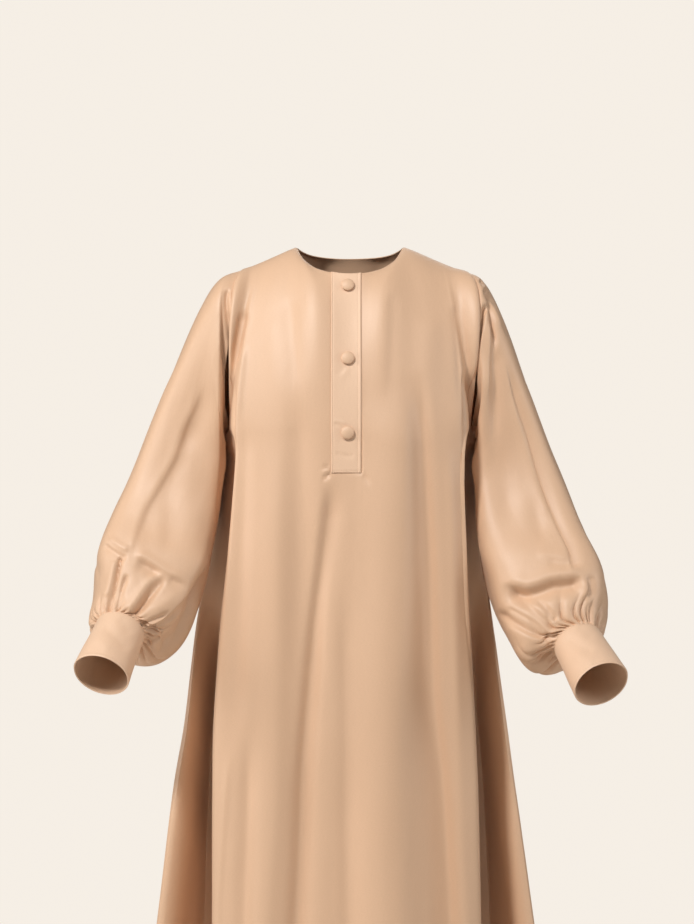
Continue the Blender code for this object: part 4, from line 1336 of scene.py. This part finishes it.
def placket_height(from_left, from_right, from_foot):
    """How far the placket's face stands off the front: a flat seamed edge on the wearer's right,
    a folded lip on the left, and a squared foot."""
    face = PLACKET_FACE + PLACKET_LIP * (1 - smooth_step(*LIP_STEP, from_right))
    face -= STITCH_DIP * bell((from_left - PLACKET_STITCH) / STITCH_DIP_HALF)
    face -= FOOT_DIP * bell((from_foot - PLACKET_FOOT_STITCH) / STITCH_DIP_HALF)
    rounding = edge_roll(from_left, *PLACKET_LEFT_ROLL) + edge_roll(from_foot, *PLACKET_FOOT_ROLL)
    rounding = np.maximum(rounding, edge_roll(from_right, *PLACKET_RIGHT_ROLL))
    return np.maximum(face - rounding, PLACKET_LEAST)


def make_placket():
    q = np.linspace(PLACKET_LEFT_X, PLACKET_RIGHT_X, PLACKET_COLUMNS) / NECK_POINT[0]
    foot = 1 + (UNDERARM_Z - PLACKET_FOOT_Z) / (UNDERARM_Z - HEM_Z)
    places = np.linspace(0, foot, PLACKET_PLACES)
    rows = even_places(robe_form([0.0], places, "front")[:, 0], places, PLACKET_ROWS)
    under = lay_cloth(robe_form(q, rows, "front"), turned=True)
    from_left = under.across - under.across[:, :1]
    from_right = under.across[:, -1:] - under.across
    from_foot = under.down[-1:] - under.down
    height = placket_height(from_left, from_right, from_foot)
    height -= creased(under, PLACKET_CREASES)
    ripples = rippled(under.across, under.down, PLACKET_RIPPLES)
    height += ripples * smooth_step(0, RIPPLE_RIM, from_left)
    height -= edge_roll(under.down, *PLACKET_TOP_ROLL)
    cloth = pressed(under, -height)
    piece = shell("placket_cloth", cloth, PLACKET_THICKNESS, PRESSED_PAINTED_LIGHT)
    finished(piece, "placket")
    points, normals = cloth.points.swapaxes(0, 1), cloth.normals.swapaxes(0, 1)
    lines = [
        (*traced(points, normals, from_left.T, PLACKET_STITCH), False),
        (*traced(points[::-1], normals[::-1], from_right.T[::-1], PLACKET_LIP_STITCH), False),
        (*edge_line(cloth, PLACKET_FOOT_STITCH, foot=True), False),
    ]
    lines = [(line[2:-2], up[2:-2], closed) for line, up, closed in lines]
    stitches = sew("placket_stitches", lines)


def front_row(q, height):
    """The row at which the front's column q is at a height."""
    low, high = 0.0, 2.0
    for _ in range(ROW_HALVINGS):
        middle = (low + high) / 2
        if robe_form([q], [middle], "front")[0, 0, 2] > height:
            low = middle
        else:
            high = middle
    return low


def make_button(number):
    """A domed button covered in the robe's cloth, on the short shank of thread that holds it."""
    q = BUTTON_X / NECK_POINT[0]
    row = front_row(q, BUTTON_TOP_Z - number * BUTTON_PITCH)
    patch = robe_form([q - PATCH_ACROSS, q, q + PATCH_ACROSS],
                      [row - PATCH_DOWN, row, row + PATCH_DOWN], "front")
    outward = outward_normals(patch, False, True)[1, 1]
    sideways = np.cross((0, 0, 1), outward)
    sideways = sideways / -np.linalg.norm(sideways)
    upward = np.cross(sideways, outward)
    foot = patch[1, 1] + outward * BUTTON_STANDS
    section = BUTTON_SHANK + BUTTON_SECTION
    angle = 2 * math.pi * np.arange(BUTTON_SIDES) / BUTTON_SIDES
    chance = np.random.default_rng(BUTTON_SEED + number)
    tucks = sum(chance.uniform(0.5, 1) * np.cos(count * angle + chance.uniform(0, 6.3))
                for count in BUTTON_TUCKS) / len(BUTTON_TUCKS)
    out = np.cos(angle)[:, None] * sideways + np.sin(angle)[:, None] * upward
    rings, weave = [], []
    for turn in section:
        puckered = TUCK_DEPTH * tucks * bell((turn.height - TUCK_HEIGHT) / TUCK_SPREAD)
        puckered = puckered * (turn.radius > TUCK_RADIUS)
        rings.append(foot + (out * (turn.radius + puckered)[:, None] + outward * turn.height) * MM)
        weave.append(np.stack([np.cos(angle), np.sin(angle)], -1) * turn.radius * MM)
    places = np.concatenate(rings + [[foot + outward * BUTTON_TOP], [foot + outward * BUTTON_HEEL]])
    weave = np.concatenate(weave + [[(0, 0)], [(0, 0)]])
    grid = np.arange(len(section) * BUTTON_SIDES).reshape(len(section), BUTTON_SIDES)
    grid = np.concatenate([grid, grid[:, :1]], 1)
    top, heel = len(places) - 2, len(places) - 1
    walls = np.stack([grid[:-1, :-1], grid[:-1, 1:], grid[1:, 1:], grid[1:, :-1]], -1).reshape(-1, 4)
    crown = np.stack([grid[-1, :-1], grid[-1, 1:], np.full(BUTTON_SIDES, top)], -1)
    base = np.stack([grid[0, 1:], grid[0, :-1], np.full(BUTTON_SIDES, heel)], -1)
    name = f"covered_button_{number + 1}"
    piece = mesh_piece(name, places, [walls, crown, base], COVER, np.arange(len(places)), weave)
    finished(piece, f"button_{number + 1}")


def make_buttons():
    for number in range(BUTTON_COUNT):
        make_button(number)


# ================================================================ floor, light and camera

FLOOR_RADIUS, FLOOR_Z, FLOOR_SIDES = 2.2, -1.41, 96
GLOW_COLOUR, GLOW_STRENGTH = (1.0, 0.975, 0.95, 1), 0.08
PAPER_COLOUR = (0.92, 0.86, 0.785, 1)
LAMP_COLOUR = (1, 0.985, 0.965)
Lamp = namedtuple("Lamp", "name place aim size power")
LAMPS = [
    Lamp("key", (-1.7, -2.6, 2.2), (0, 0, -0.3), 0.6, 117),
    Lamp("top", (0, -2.8, 2.4), (0, 0, -0.4), 1.4, 19),
    Lamp("fill", (1.7, -2.7, 1.6), (0, 0, -0.4), 1.2, 12),
    Lamp("right_side", (-2.6, -0.7, 0.2), (0, 0, -0.6), 1.4, 26),
    Lamp("left_side", (2.6, -0.7, 0.2), (0, 0, -0.6), 1.4, 20),
    Lamp("rim", (0.5, 2.8, 1.6), (0, 0, -0.3), 1.6, 12),
]
LENS_MM, FILM_MM, CLIP_END = 93.27, 36, 60


def make_floor():
    disc = bpy.data.meshes.new("studio_floor")
    turns = [2 * math.pi * k / FLOOR_SIDES for k in range(FLOOR_SIDES)]
    places = [(FLOOR_RADIUS * math.cos(a), FLOOR_RADIUS * math.sin(a), FLOOR_Z) for a in turns]
    disc.from_pydata(places, [], [tuple(range(FLOOR_SIDES))])
    disc.materials.append(plain("studio_floor", (0.86, 0.82, 0.76), 0.8))
    placed("studio_floor", disc)


def make_backdrop():
    """A pale paper backdrop for the camera's eye, and a faint glow for everything else."""
    world = bpy.data.worlds.new("studio")
    bpy.context.scene.world = world
    world.use_nodes = True
    tree = world.node_tree
    glow = tree.nodes["Background"]
    glow.inputs["Color"].default_value = GLOW_COLOUR
    glow.inputs["Strength"].default_value = GLOW_STRENGTH
    paper = link_nodes(tree, "Background", Color=PAPER_COLOUR, Strength=1.0)
    seen = link_nodes(tree, "LightPath").outputs["Is Camera Ray"]
    both = link_nodes(tree, "MixShader", _0=seen, _1=glow.outputs[0], _2=paper.outputs[0])
    tree.links.new(both.outputs[0], tree.nodes["World Output"].inputs[0])


def make_lamps():
    for row in LAMPS:
        lamp = bpy.data.lights.new(row.name, "AREA")
        lamp.size, lamp.energy, lamp.color = row.size, row.power, LAMP_COLOUR
        hung = placed(row.name, lamp)
        hung.location = row.place
        aim = Vector(row.aim) - Vector(row.place)
        hung.rotation_euler = aim.to_track_quat("-Z", "Y").to_euler()


def make_camera():
    lens = bpy.data.cameras.new("camera")
    lens.lens, lens.sensor_width, lens.clip_end = LENS_MM, FILM_MM, CLIP_END
    camera = placed("camera", lens)
    camera.location = EYES["front"]
    camera.rotation_euler = (math.radians(90), 0, 0)
    scene = bpy.context.scene
    scene.camera = camera
    scene.view_settings.view_transform = "Standard"
    scene.view_settings.look = "None"


make_camera()
make_floor()
make_backdrop()
make_lamps()
make_front()
make_back()
make_placket()
make_buttons()
for arm in (RIGHT, LEFT):
    make_sleeve(arm)
    make_cuff(arm)
